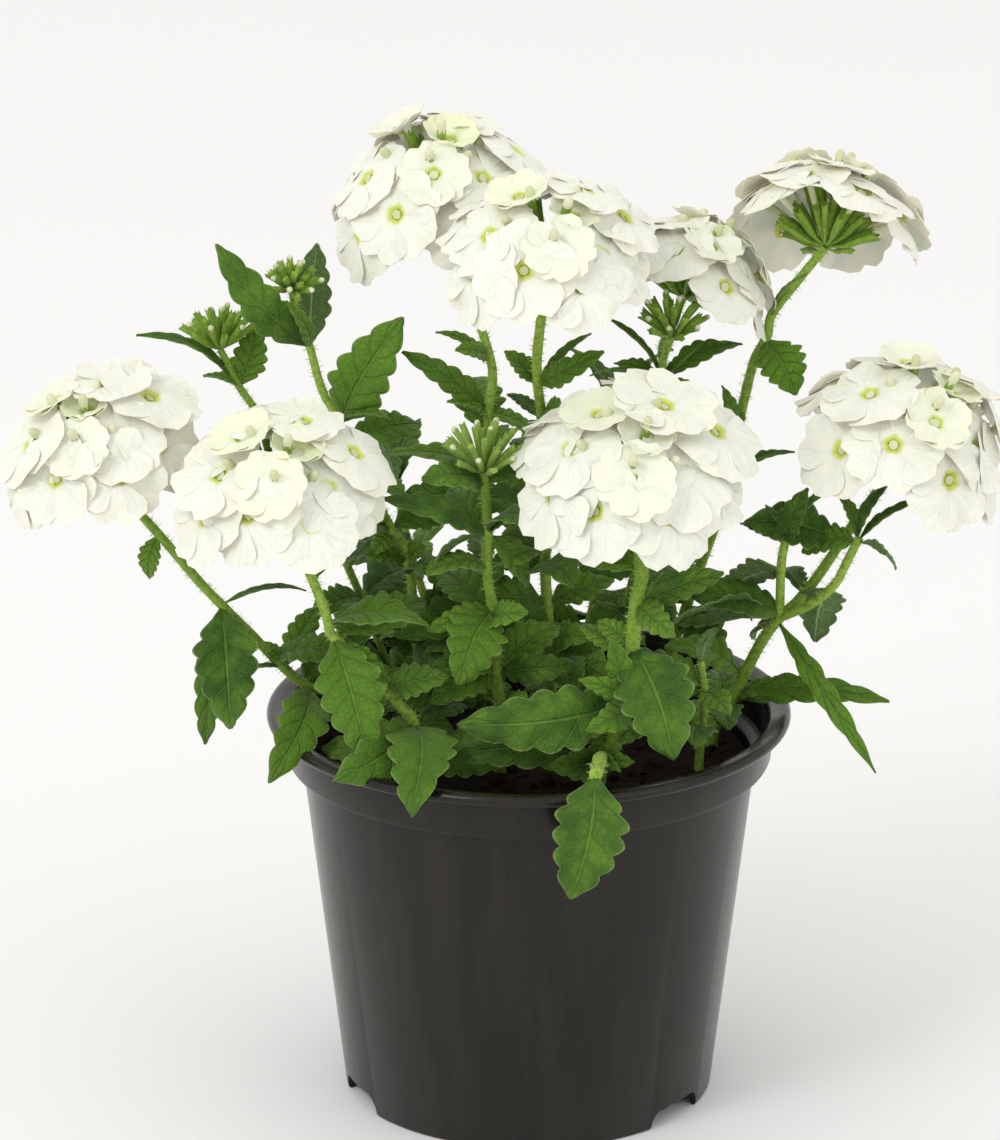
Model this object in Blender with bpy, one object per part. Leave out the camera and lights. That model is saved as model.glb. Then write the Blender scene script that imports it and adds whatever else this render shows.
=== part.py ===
"""Trailing verbena with white flower heads, standing in its round nursery pot.

Lengths in the tables and helpers are millimetres. MM turns them into metres when a mesh is made.
The origin is the middle of the pot's underside, +Z is up and the plant's best side faces -Y.
"""

import math
import random

import bmesh
import bpy
from mathutils import Matrix, Vector
from mathutils.bvhtree import BVHTree

MM = 0.001

# Pot
POT_HEIGHT = 99.6
LIP_RADIUS = 65.0
COLLAR_RADIUS = 60.4
COLLAR_HEIGHT = 12.7
WALL_TOP_RADIUS = 56.2
BASE_RADIUS = 45.9
WALL = 1.3
FLOOR_RISE = 5.4
FLOOR_THICKNESS = 1.5
BOSS_RADIUS = 5.0
POT_SIDES = 28
NOTCH_TURNS = (-67.0, 53.5, 173.0)
NOTCH_WIDTH = 21.0
NOTCH_HEIGHT = 5.0

# Soil
SOIL_TOP = 88.0
SOIL_EDGE_DROP = 2.2
SOIL_GAP = 0.7
FLOOR_GAP = 0.4
HOLE_DEPTH = 8.0
HOLE_GAP = 0.5

# Flower heads
FLORETS = 15
FLORET_RADIUS = 12.8
FLORET_DEPTH = 1.3
FLORET_FLATNESS = 0.3
LEVEL_START = 19.4
LEVEL_STEP = 2.0
LEVELS = 5
CORE_OUTER = 17.4
CORE_INNER = 14.0
CALYXES = 7
CALYX_REACH = 11.7
CALYX_RADIUS = 1.1
HUB_RADIUS = 2.2
PEDICEL_RADIUS = 0.5
GOLDEN_ANGLE = 137.508

# Leaves
LEAF_THICKNESS = 1.2
LEAF_ARCH = 0.13
LEAF_FOLD = 0.22
LEAF_ROOT_DEPTH = 1.0
CLEARANCE = 0.5

# Each shoot: its stem from the soil up, its branches, and its leaves as
# (where it grows, tip, width, facing). Facing 1 shows the upper side to the front and -1 the back.
SHOOTS = {
    "front_left": {
        "stem": [(-27, -27), (-28, -30, 106), (-31, -30, 110), (-37, -31, 118), (-47, -33, 129),
                 (-48, -33, 130), (-50, -35, 139), (-59, -32, 160)],
        "radius": (1.5, 1.2),
        "leaves": [
            (5, (-39, -46, 103), 16, 0.8),
            (4, (-34, -32, 117), 6, 0.8),
            (4, (-41, -22, 133), 6, 0.5),
            (5, (-25, -12, 131), 11, 0.5),
            (1, (-28, -68, 97), 17, 0.8),
            (1, (-46, -54, 100), 15, 0.8),
            (1, (-35, -24, 104), 6, 0.5),
            (1, (-17, -2, 100), 8, 0.5),
            (1, (-18, -16, 98), 7, 0.6),
        ],
    },
    "far_left": {
        "stem": [(-23, 6), (-31, 2, 94), (-44, -3, 102), (-55, -6, 107), (-61, -8, 113),
                 (-68, -9, 121), (-76, -10, 130), (-81, -11, 136), (-91, -12, 149), (-103, -12, 163)],
        "radius": (1.4, 1.1),
        "leaves": [
            (6, (-73, -24, 102), 16, 0.8),
            (6, (-80, -8, 92), 8, 0.6),
            (4, (-71, -12, 112), 3, 0.1),
            (4, (-64, -4, 125), 7, 0.6),
            (4, (-52, 2, 125), 8, 0.4),
            (6, (-55, 2, 129), 3, 0.1),
            (3, (-64, -38, 91), 13, 0.8),
            (8, (-93, -10, 136), 6, 0.4),
        ],
    },
    "left_bud": {
        "stem": [(-25, 12), (-28, 11, 113), (-30, 8, 136), (-34, 8, 143), (-44, 8, 163),
                 (-47, 8, 171), (-51, 9, 179), (-54, 10, 190), (-57, 10, 198), (-58, 10, 204)],
        "radius": (1.3, 1.0),
        "leaves": [
            (7, (-76, 4, 217), 11, 0.8),
            (7, (-52, 16, 214), 10, -0.5),
            (7, (-59, 0, 204), 5, 0.5),
            (5, (-31, 2, 199), 15, 0.8),
            (5, (-34, -6, 176), 5, 0.3),
            (2, (-42, -6, 135), 10, 0.4),
            (2, (-24, 4, 141), 8, 0.5),
            (3, (-40, 4, 136), 8, 0.4),
            (1, (-47, -2, 127), 11, 0.5),
            (1, (-14, -8, 112), 12, 0.6),
        ],
    },
    "far_left_bud": {
        "stem": [(-32, 24), (-46, 22, 130), (-63, 18, 163), (-72, 16, 178), (-74, 15, 183),
                 (-76, 15, 187)],
        "radius": (1.1, 0.9),
        "leaves": [
            (3, (-67, 20, 192), 9, 0.6),
            (3, (-96, 8, 193), 4, 0.3),
            (3, (-80, 10, 182), 4, 0.3),
            (2, (-57, 26, 156), 7, 0.5),
        ],
    },
    "middle_bud": {
        "stem": [(-7, -16), (-7, -18, 106), (-8, -19, 116), (-9, -20, 133), (-10, -20, 140),
                 (-10, -20, 152), (-11, -20, 167)],
        "radius": (1.6, 1.2),
        "leaves": [
            (3, (-17, -36, 118), 15, 0.85),
            (3, (-35, -30, 125), 11, 0.6),
            (2, (12, -22, 118), 8, 0.7),
            (2, (-24, -30, 111), 10, 0.6),
            (5, (-35, -28, 167), 8, 0.5),
            (5, (0, -26, 158), 4, 0.4),
            (5, (-24, -28, 144), 8, -0.4),
            (5, (0, -14, 135), 9, 0.4),
        ],
    },
    "back_left": {
        "stem": [(-12, 14), (-11, 12, 123), (-10, 9, 158), (-10, 8, 174), (-9, 10, 181),
                 (-10, 13, 187), (-15, 22, 200), (-22, 30, 217)],
        "radius": (1.3, 1.1),
        "leaves": [
            (2, (-31, 4, 154), 10, -0.3),
            (2, (-36, 0, 165), 9, 0.2),
            (3, (-31, 4, 190), 7, 0.6),
            (3, (-20, 2, 178), 4, 0.4),
            (3, (2, 12, 165), 7, 0.3),
            (5, (-18, 6, 190), 6, 0.5),
            (5, (-23, 14, 192), 3, 0.3),
            (1, (-27, 20, 131), 10, 0.5),
            (1, (-34, 2, 114), 12, 0.6),
        ],
    },
    "back_middle": {
        "stem": [(6, 2), (5, 2, 116), (4, 3, 135), (4, 3, 157), (3, -1, 175), (2, -5, 185),
                 (2, -7, 194), (4, -10, 212)],
        "radius": (1.5, 1.2),
        "leaves": [
            (5, (15, 0, 196), 3, 0.3),
            (5, (18, -12, 195), 7, 0.6),
            (5, (-6, -2, 192), 6, 0.4),
            (4, (-10, -16, 187), 6, -0.7),
            (4, (9, -12, 180), 7, 0.5),
            (4, (-2, -8, 169), 8, 0.3),
            (1, (15, -10, 121), 10, 0.5),
            (1, (-6, 0, 127), 10, 0.5),
            (2, (-7, 10, 134), 9, 0.4),
            (1, (26, -14, 106), 11, 0.6),
        ],
    },
    "front": {
        "stem": [(17, -26), (18, -33, 98), (20, -34, 101), (23, -35, 109), (24, -35, 114),
                 (25, -36, 129), (26, -36, 140), (27, -34, 147), (25, -29, 163)],
        "branches": [[(18, -33, 98), (17, -50, 104), (16, -63, 105)]],
        "radius": (2.0, 1.8),
        "leaves": [
            ((0, 2), (10, -73, 77), 18, 0.9),
            (1, (5, -46, 101), 9, 0.7),
            (1, (32, -48, 102), 9, 0.7),
            (1, (22, -50, 101), 4, 0.7),
            (1, (-19, -40, 101), 11, 0.6),
            (4, (-17, -48, 112), 16, 0.7),
            (4, (20, -42, 132), 8, 0.8),
            (4, (12, -46, 123), 6, 0.7),
            (4, (14, -52, 112), 8, 0.8),
            (5, (35, -52, 105), 19, 0.85),
            (5, (13, -30, 138), 10, 0.7),
            (6, (47, -34, 146), 8, 0.7),
            (6, (35, -46, 134), 8, 0.7),
        ],
    },
    "right": {
        "stem": [(46, 6), (51, 6, 100), (54, 5, 107), (58, 3, 116), (62, 2, 122), (67, 2, 127),
                 (72, 2, 134), (79, 0, 146), (91, -3, 165)],
        "branches": [
            [(62, 2, 122), (62, -2, 137), (63, -3, 144)],
            [(62, 2, 122), (69, -3, 127), (75, -5, 133), (78, -5, 139), (81, -4, 145)],
        ],
        "radius": (1.6, 1.2),
        "leaves": [
            (4, (85, -24, 91), 6, 0.4),
            (4, (56, 12, 113), 7, 0.4),
            (4, (35, -10, 125), 12, -0.5),
            ((0, 1), (48, 4, 128), 12, -0.5),
            ((0, 1), (68, 8, 127), 8, -0.3),
            ((0, 2), (68, -8, 159), 7, 0.5),
            ((0, 2), (77, -6, 161), 4, 0.2),
            ((0, 2), (56, -4, 155), 6, -0.4),
            ((0, 2), (52, 4, 146), 5, 0.3),
            ((1, 2), (71, 4, 115), 12, -0.6),
            ((1, 4), (90, -10, 139), 8, -0.4),
            ((1, 4), (67, 0, 140), 9, 0.4),
            ((1, 4), (97, -6, 156), 4, 0.2),
            ((1, 4), (88, -12, 162), 4, 0.4),
            ((1, 4), (76, 0, 155), 4, 0.2),
            (1, (89, -6, 103), 8, 0.6),
            (1, (67, 2, 103), 8, 0.3),
        ],
    },
    "back_right": {
        "stem": [(32, 24), (40, 26, 118), (51, 27, 152), (52, 27, 163), (54, 28, 173),
                 (56, 28, 181), (59, 28, 187), (60, 29, 192), (66, 30, 200), (73, 30, 209)],
        "radius": (1.4, 1.1),
        "leaves": [
            (6, (66, 20, 174), 13, 0.5),
            (6, (50, 24, 182), 8, 0.5),
            (7, (52, 30, 204), 4, 0.3),
            (7, (68, 24, 204), 4, 0.2),
            (3, (48, 24, 175), 5, 0.4),
            (3, (59, 20, 174), 7, 0.4),
            (2, (66, 24, 158), 4, 0.3),
            (2, (40, 34, 158), 8, 0.5),
            (1, (28, 30, 127), 10, 0.5),
            (1, (48, 12, 106), 12, 0.6),
        ],
    },
    "behind_middle": {
        "stem": [(18, 26), (25, 28, 117), (30, 28, 149), (33, 26, 177), (33, 26, 185),
                 (38, 27, 197)],
        "radius": (1.3, 1.0),
        "leaves": [
            (3, (19, 20, 194), 3, 0.3),
            (3, (49, 20, 191), 5, 0.4),
            (3, (21, 24, 181), 5, 0.4),
            (3, (44, 24, 173), 3, 0.3),
            (3, (15, 30, 176), 3, 0.2),
            (3, (53, 34, 183), 7, 0.4),
            (2, (15, 36, 149), 8, 0.5),
            (1, (38, 12, 126), 11, 0.6),
            (1, (14, 12, 108), 12, 0.6),
        ],
    },
    "right_low": {
        "stem": [(42, -14), (43, -15, 103), (43, -16, 110), (42, -16, 117)],
        "radius": (1.2, 0.9),
        "leaves": [
            (2, (55, -30, 104), 13, 0.3),
            (3, (39, -18, 126), 6, -0.4),
            (3, (46, -14, 125), 6, -0.4),
            (2, (32, -8, 106), 7, 0.5),
        ],
    },
    "rear_left": {
        "stem": [(-18, 34), (-24, 42, 106), (-30, 50, 122), (-34, 55, 140)],
        "radius": (1.3, 1.0),
        "leaves": [
            (1, (-48, 52, 100), 13, -0.5),
            (1, (-8, 62, 104), 13, -0.5),
            (2, (-56, 50, 124), 12, -0.4),
            (2, (-16, 66, 128), 12, -0.4),
            (3, (-44, 52, 160), 10, -0.3),
            (3, (-28, 70, 152), 10, -0.3),
        ],
    },
    "rear_right": {
        "stem": [(12, 38), (16, 46, 108), (20, 52, 126), (22, 54, 144), (23, 54, 158)],
        "radius": (1.3, 1.0),
        "leaves": [
            (1, (2, 60, 96), 12, -0.5),
            (1, (38, 58, 104), 13, -0.5),
            (2, (4, 68, 128), 12, -0.4),
            (2, (42, 60, 130), 13, -0.4),
            (3, (26, 76, 142), 11, -0.4),
            (4, (10, 54, 176), 9, -0.3),
            (4, (36, 60, 174), 9, -0.3),
        ],
    },
}

# Each open head: the shoot that bears it, the way it faces, its size and how far round it goes.
HEADS = {
    "front_left": ((-0.10, -0.55, 0.82), 1.12, 94.0),
    "far_left": ((-0.35, -0.45, 0.80), 1.08, 94.0),
    "back_left": ((-0.15, -0.30, 0.90), 1.10, 94.0),
    "back_middle": ((0.05, -0.50, 0.85), 1.10, 94.0),
    "front": ((-0.05, -0.60, 0.80), 1.22, 92.0),
    "right": ((0.35, -0.30, 0.90), 1.12, 94.0),
    "back_right": ((0.15, 0.60, 0.75), 1.02, 80.0),
    "behind_middle": ((0.45, 0.15, 0.85), 0.92, 84.0),
}

# Each cluster of closed buds: its shoot, the way it faces, how wide it fans and its length.
BUD_CLUSTERS = {
    "left_bud": ((0.1, -0.3, 0.9), 85.0, 6.5),
    "far_left_bud": ((-0.1, 0.1, 1.0), 75.0, 10.0),
    "middle_bud": ((0.0, -0.2, 1.0), 72.0, 12.0),
}
BUDS = 12
BUD_RADIUS = 1.5

LEAF_GREEN = (0.075, 0.19, 0.025)
PETAL_WHITE = (0.82, 0.82, 0.76)
POT_BLACK = (0.022, 0.019, 0.018)
PEAT_BROWN = (0.020, 0.012, 0.008)


def material(name, colour, roughness, metallic=0.0):
    """Return a plain Principled material."""
    made = bpy.data.materials.new(name)
    made.use_nodes = True
    shader = made.node_tree.nodes["Principled BSDF"]
    shader.inputs["Base Color"].default_value = (*colour, 1.0)
    shader.inputs["Roughness"].default_value = roughness
    shader.inputs["Metallic"].default_value = metallic
    return made


def make_object(name, solid, surface=None):
    """Turn a solid in millimetres, a pair of points and faces, into a closed mesh object."""
    points, faces = solid
    mesh = bpy.data.meshes.new(name)
    mesh.from_pydata([Vector(point) * MM for point in points], [], faces)
    shell = bmesh.new()
    shell.from_mesh(mesh)
    bmesh.ops.recalc_face_normals(shell, faces=shell.faces)
    if shell.calc_volume(signed=True) < 0.0:
        bmesh.ops.reverse_faces(shell, faces=shell.faces)
    shell.to_mesh(mesh)
    shell.free()
    made = bpy.data.objects.new(name, mesh)
    bpy.context.scene.collection.objects.link(made)
    if surface:
        mesh.materials.append(surface)
    return made


def apply_boolean(target, operands, operation, solver):
    """Cut or join the operand solids into the target with one Boolean, then remove them."""
    group = bpy.data.collections.new(target.name + "_operands")
    bpy.context.scene.collection.children.link(group)
    for operand in operands:
        bpy.context.scene.collection.objects.unlink(operand)
        group.objects.link(operand)
    joint = target.modifiers.new("join", "BOOLEAN")
    joint.operand_type = "COLLECTION"
    joint.collection = group
    joint.operation = operation
    joint.solver = solver
    graph = bpy.context.evaluated_depsgraph_get()
    result = bpy.data.meshes.new_from_object(target.evaluated_get(graph))
    target.modifiers.clear()
    target.data = result
    for operand in operands:
        bpy.data.objects.remove(operand)
    bpy.data.collections.remove(group)


def grown_node(name, solids, surface):
    """Fuse a list of solids into one named object."""
    body = make_object(name, solids[0], surface)
    others = [make_object(f"{name}_{index}", solid) for index, solid in enumerate(solids[1:])]
    apply_boolean(body, others, "UNION", "MANIFOLD")
    body.data.materials.clear()
    body.data.materials.append(surface)
    return body


class Neighbours:
    """The solids placed so far, each with the node it belongs to, to keep later ones clear."""

    def __init__(self):
        self.placed = []

    def add(self, node, solid):
        points, faces = solid
        low, high = bounds(points)
        self.placed.append((node, low, high, BVHTree.FromPolygons(points, faces)))

    def hit(self, node, solid):
        points, faces = solid
        low, high = bounds(points)
        tree = None
        for owner, other_low, other_high, other_tree in self.placed:
            if owner == node:
                continue
            if any(low[i] > other_high[i] or high[i] < other_low[i] for i in range(3)):
                continue
            tree = tree or BVHTree.FromPolygons(points, faces)
            if tree.overlap(other_tree):
                return True
        return False


def bounds(points):
    """Return the lowest and highest corner round the points."""
    low = [min(point[i] for point in points) for i in range(3)]
    high = [max(point[i] for point in points) for i in range(3)]
    return low, high


def across(direction, hint):
    """Return the unit vector nearest the hint that stands square on the direction."""
    flat = hint - direction * hint.dot(direction)
    if flat.length < 0.05:
        flat = Vector((0.0, -1.0, 0.1)) - direction * Vector((0.0, -1.0, 0.1)).dot(direction)
    return flat.normalized()


def tube(points, radii, sides=4):
    """Return a closed tube through the points."""
    points = [Vector(point) for point in points]
    corners = []
    last = len(points) - 1
    side = None
    for index, point in enumerate(points):
        ahead = points[min(index + 1, last)] - points[max(index - 1, 0)]
        ahead.normalize()
        side = across(ahead, side or Vector((1.0, 0.13, 0.0)))
        other = ahead.cross(side)
        for step in range(sides):
            turn = math.tau * (step + 0.5) / sides
            corners.append(point + (side * math.cos(turn) + other * math.sin(turn)) * radii[index])
    faces = [tuple(reversed(range(sides)))]
    for ring in range(last):
        for step in range(sides):
            follow = (step + 1) % sides
            low = ring * sides
            high = low + sides
            faces.append((low + step, low + follow, high + follow, high + step))
    faces.append(tuple(last * sides + step for step in range(sides)))
    return corners, faces


def leaf_blade(base, tip, width, facing, swell=0.0):
    """Return a toothed, folded and arched leaf, thickest on its midrib."""
    base = Vector(base)
    along = Vector(tip) - base
    length = along.length
    along.normalize()
    upper = across(along, Vector((0.0, -facing, 1.0 - abs(facing))))
    side = along.cross(upper)
    teeth = 5 if length > 34.0 else 4 if length > 22.0 else 3 if length > 12.0 else 2
    half = width / 2.0
    rise = LEAF_THICKNESS / 2.0 + swell

    def spot(share, outward, lift):
        arch = LEAF_ARCH * length * 4.0 * share * (1.0 - share)
        return base + along * (length * share) + side * outward + upper * (arch + lift)

    def reach(share):
        return (half + swell) * math.sin(math.pi * share ** 0.8) ** 0.9

    points = [spot(0.0, 0.0, 0.0), spot(1.0, 0.0, 0.0)]
    top = [0]
    bottom = [0]
    for index in range(1, teeth):
        share = index / teeth
        top.append(len(points))
        points.append(spot(share, 0.0, rise * 0.6))
        bottom.append(len(points))
        points.append(spot(share, 0.0, -rise * 1.4))
    top.append(1)
    bottom.append(1)
    faces = []
    for hand in (-1.0, 1.0):
        notches = [0]
        for index in range(1, teeth):
            share = index / teeth
            outward = 0.76 * reach(share)
            notches.append(len(points))
            points.append(spot(share - 0.02, hand * outward, LEAF_FOLD * outward))
        notches.append(1)
        for index in range(teeth):
            share = (index + 0.62) / teeth
            outward = reach(share)
            wave = 0.05 * width * math.sin(2.3 * index + hand)
            tooth = len(points)
            points.append(spot(share, hand * outward, LEAF_FOLD * outward + wave))
            for midrib, flip in ((top, hand < 0.0), (bottom, hand > 0.0)):
                fan = []
                if index > 0:
                    fan.append((midrib[index], notches[index], tooth))
                fan.append((midrib[index], tooth, midrib[index + 1]))
                if index < teeth - 1:
                    fan.append((midrib[index + 1], tooth, notches[index + 1]))
                for corner in fan:
                    faces.append(tuple(reversed(corner)) if flip else corner)
    return points, faces


def swings():
    """Return the small turns to try on a leaf, as (lift, sideways) in degrees, mildest first."""
    turns = [(lift, sideways) for lift in range(-42, 43, 7) for sideways in range(-32, 33, 8)]
    return sorted(turns, key=lambda turn: (abs(turn[0]) + abs(turn[1]), turn))


def clear_leaf(node, base, tip, width, facing, neighbours):
    """Return the leaf swung by the mildest turn that keeps it clear of the other nodes."""
    base = Vector(base)
    along = Vector(tip) - base
    upper = across(along.normalized(), Vector((0.0, -facing, 1.0 - abs(facing))))
    side = along.normalized().cross(upper)
    for size in (1.0, 0.8, 0.62):
        for lift, sideways in swings():
            turned = Matrix.Rotation(math.radians(lift), 3, side) @ along
            turned = Matrix.Rotation(math.radians(sideways), 3, upper) @ turned
            end = base + turned * size
            if not neighbours.hit(node, leaf_blade(base, end, width * size, facing, CLEARANCE)):
                return leaf_blade(base, end, width * size, facing)
    return None


def cap_direction(index, count, cap_angle, axis):
    """Return the direction of one of a number of even places on a round cap about the axis."""
    lowest = math.cos(math.radians(cap_angle))
    height = 1.0 - (index + 0.5) / count * (1.0 - lowest)
    turn = math.radians(GOLDEN_ANGLE) * index
    flat = math.sqrt(max(0.0, 1.0 - height * height))
    axis = Vector(axis).normalized()
    side = across(axis, Vector((1.0, 0.0, 0.0)))
    other = axis.cross(side)
    return axis * height + side * (flat * math.cos(turn)) + other * (flat * math.sin(turn))


def floret(centre, way, level, radius, root, turn, swell=0.0):
    """Return one five-lobed flower whose petals lie on a sphere, with its tube sunk to the root."""
    side = across(way, Vector((0.3, 0.2, 1.0)))
    other = way.cross(side)
    points = [centre + way * (level - 0.4 + swell)]
    rim = []
    for lobe in range(5):
        middle = turn + math.tau * lobe / 5.0
        for shift, reach in ((-0.5, 0.62), (-0.27, 1.0), (0.27, 1.0)):
            angle = middle + math.tau * shift / 5.0
            spread = (radius * reach + swell) / level
            outward = side * math.cos(angle) + other * math.sin(angle)
            rim.append(len(points))
            distance = level * (1.0 + FLORET_FLATNESS * (1.0 / math.cos(spread) - 1.0))
            points.append(centre + (way * math.cos(spread) + outward * math.sin(spread)) * distance)
    neck = []
    foot = []
    for step in range(3):
        outward = side * math.cos(math.tau * step / 3.0 + turn)
        outward += other * math.sin(math.tau * step / 3.0 + turn)
        neck.append(len(points))
        points.append(centre + way * (level - FLORET_DEPTH - swell) + outward * (1.3 + swell))
        foot.append(len(points))
        points.append(centre + way * root + outward * 0.9)
    count = len(rim)
    faces = []
    for step in range(count):
        follow = (step + 1) % count
        faces.append((0, rim[step], rim[follow]))
        here = step * 3 // count
        ahead = (step + 1) * 3 // count % 3
        faces.append((rim[follow], rim[step], neck[here]))
        if ahead != here:
            faces.append((rim[follow], neck[here], neck[ahead]))
    for step in range(3):
        follow = (step + 1) % 3
        faces.append((neck[follow], neck[step], foot[step], foot[follow]))
    faces.append(tuple(reversed(foot)))
    return points, faces


def head_core(centre, axis, size, cap_angle):
    """Return the small domed bowl at the heart of a flower head."""
    axis = Vector(axis).normalized()
    side = across(axis, Vector((1.0, 0.0, 0.0)))
    other = axis.cross(side)
    segments = 8
    polar = [0.38 * cap_angle, 0.72 * cap_angle, cap_angle + 5.0]
    points = []
    faces = []
    rings = []
    for radius in (CORE_OUTER * size, CORE_INNER * size):
        pole = len(points)
        points.append(centre + axis * radius)
        shell = []
        for angle in polar:
            ring = []
            for step in range(segments):
                turn = math.tau * step / segments
                outward = side * math.cos(turn) + other * math.sin(turn)
                ring.append(len(points))
                tilt = math.radians(angle)
                points.append(centre + (axis * math.cos(tilt) + outward * math.sin(tilt)) * radius)
            shell.append(ring)
        for step in range(segments):
            follow = (step + 1) % segments
            faces.append((pole, shell[0][step], shell[0][follow]))
            for low, high in zip(shell[1:], shell):
                faces.append((high[step], low[step], low[follow], high[follow]))
        rings.append(shell[-1])
    for step in range(segments):
        follow = (step + 1) % segments
        faces.append((rings[0][step], rings[1][step], rings[1][follow], rings[0][follow]))
    return points, faces


def head_florets(name, centre, neighbours, seed):
    """Return the florets of one head, in shingled levels that don't touch each other."""
    axis, size, cap_angle = HEADS[name]
    node = "flowers_" + name
    draw = random.Random(seed)
    placed = []
    solids = []
    for index in range(FLORETS):
        way = cap_direction(index, FLORETS, cap_angle, axis)
        radius = FLORET_RADIUS * size * (0.80 if index < 2 else 1.0)
        turn = draw.uniform(0.0, math.tau)
        reach = 1.8 * radius / (size * LEVEL_START)
        taken = [level for other, level in placed if way.angle(other) < reach]
        order = [level for level in range(LEVELS) if level not in taken]
        for level in order:
            distance = (LEVEL_START + LEVEL_STEP * level) * size
            root = (CORE_INNER + 0.4) * size
            fat = floret(centre, way, distance, radius, root, turn, CLEARANCE)
            if not neighbours.hit(node, fat):
                solids.append(floret(centre, way, distance, radius, root, turn))
                placed.append((way, level))
                break
    return solids


def calyx_fan(centre, axis, cap_angle, reach, count, tip_radius):
    """Return the pedicels and calyces that fan out from the swollen top of a stem."""
    axis = Vector(axis).normalized()
    top = centre + axis * (HUB_RADIUS * 0.9)
    bottom = centre - axis * (HUB_RADIUS * 0.9)
    fan = [tube([bottom, centre, top], [HUB_RADIUS * 0.5, HUB_RADIUS, HUB_RADIUS * 0.5], 5)]
    for index in range(count):
        way = cap_direction(index, count, cap_angle, axis)
        start = centre + way * (HUB_RADIUS * 0.65)
        end = centre + way * reach
        fan.append(tube([start, end], [PEDICEL_RADIUS, tip_radius], 3))
    return fan


def stem_points(shoot):
    """Return the stem's points, starting from a straight foot sunk in the soil."""
    foot = shoot["stem"][0]
    below = (foot[0], foot[1], SOIL_TOP - HOLE_DEPTH)
    above = (foot[0], foot[1], SOIL_TOP + 2.5)
    return [below, above] + shoot["stem"][1:]


def stem_solids(shoot):
    """Return the stem and the branches of a shoot as tapering tubes."""
    thick, thin = shoot["radius"]
    points = stem_points(shoot)
    last = len(points) - 1
    radii = [thick + (thin - thick) * index / last for index in range(last + 1)]
    solids = [tube(points, radii)]
    for branch in shoot.get("branches", []):
        start = Vector(branch[0])
        solids.append(tube([start] + branch[1:], [thin] * len(branch)))
    return solids


def leaf_root(shoot, place):
    """Return the point on the stem or on a branch, just short of its end, where a leaf grows."""
    path = stem_points(shoot)[1:]
    index = place
    if isinstance(place, tuple):
        branch, index = place
        path = shoot["branches"][branch]
    root = Vector(path[index])
    back = Vector(path[index - 1]) - root
    return root + back.normalized() * LEAF_ROOT_DEPTH


def turned_solid(profile, sides):
    """Return the solid made by turning a profile that starts and ends on the axis."""
    points = [(0.0, 0.0, profile[0][1]), (0.0, 0.0, profile[-1][1])]
    rings = []
    for radius, height in profile[1:-1]:
        ring = []
        for step in range(sides):
            turn = math.tau * (step + 0.5) / sides
            ring.append(len(points))
            points.append((radius * math.sin(turn), -radius * math.cos(turn), height))
        rings.append(ring)
    faces = []
    for step in range(sides):
        follow = (step + 1) % sides
        faces.append((0, rings[0][step], rings[0][follow]))
        faces.append((1, rings[-1][follow], rings[-1][step]))
        for low, high in zip(rings, rings[1:]):
            faces.append((low[step], high[step], high[follow], low[follow]))
    return points, faces


def pot_profile():
    """Return the pot's section, from the middle of its floor out, over the lip and back under."""
    step = POT_HEIGHT - COLLAR_HEIGHT
    inner_wall = WALL_TOP_RADIUS - WALL
    inner_base = BASE_RADIUS + 0.7 - WALL
    return [
        (0.0, FLOOR_RISE + FLOOR_THICKNESS),
        (inner_base, FLOOR_RISE + FLOOR_THICKNESS),
        (inner_wall, step - 0.3),
        (COLLAR_RADIUS - WALL - 0.2, step + WALL),
        (COLLAR_RADIUS - WALL, POT_HEIGHT - 2.2),
        (LIP_RADIUS - 3.0, POT_HEIGHT),
        (LIP_RADIUS - 1.0, POT_HEIGHT),
        (LIP_RADIUS, POT_HEIGHT - 1.0),
        (LIP_RADIUS - 0.4, POT_HEIGHT - 2.4),
        (COLLAR_RADIUS, POT_HEIGHT - 2.9),
        (COLLAR_RADIUS - 0.2, step + 0.5),
        (WALL_TOP_RADIUS, step - 0.7),
        (BASE_RADIUS, 0.0),
        (BASE_RADIUS - WALL, 0.0),
        (BASE_RADIUS - WALL + 0.3, FLOOR_RISE),
        (BOSS_RADIUS, FLOOR_RISE),
        (BOSS_RADIUS, 0.0),
        (0.0, 0.0),
    ]


def notch_block(turn):
    """Return the wedge that cuts one drain notch out of the skirt."""
    narrow = NOTCH_WIDTH / 2.0 - 2.0
    wide = NOTCH_WIDTH / 2.0
    section = [(-wide, -1.0), (wide, -1.0), (narrow, NOTCH_HEIGHT), (-narrow, NOTCH_HEIGHT)]
    spin = Matrix.Rotation(math.radians(turn), 3, "Z")
    points = []
    for distance in (BASE_RADIUS - 8.0, BASE_RADIUS + 4.0):
        for sideways, height in section:
            points.append(spin @ Vector((sideways, -distance, height)))
    faces = [(0, 1, 2, 3), (7, 6, 5, 4)]
    for step in range(4):
        follow = (step + 1) % 4
        faces.append((step, step + 4, follow + 4, follow))
    return points, faces


def foot_block(turn):
    """Return the small rounded foot that stands behind a drain notch."""
    spin = Matrix.Rotation(math.radians(turn), 3, "Z")
    outline = [(-4.0, FLOOR_RISE + 0.6), (-3.2, 2.4), (-1.6, 1.5), (1.6, 1.5), (3.2, 2.4),
               (4.0, FLOOR_RISE + 0.6)]
    points = []
    for distance in (BASE_RADIUS - 4.4, BASE_RADIUS - 2.4):
        for sideways, height in outline:
            points.append(spin @ Vector((sideways, -distance, height)))
    count = len(outline)
    faces = [tuple(range(count)), tuple(reversed(range(count, 2 * count)))]
    for step in range(count):
        follow = (step + 1) % count
        faces.append((step, step + count, follow + count, follow))
    return points, faces


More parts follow.
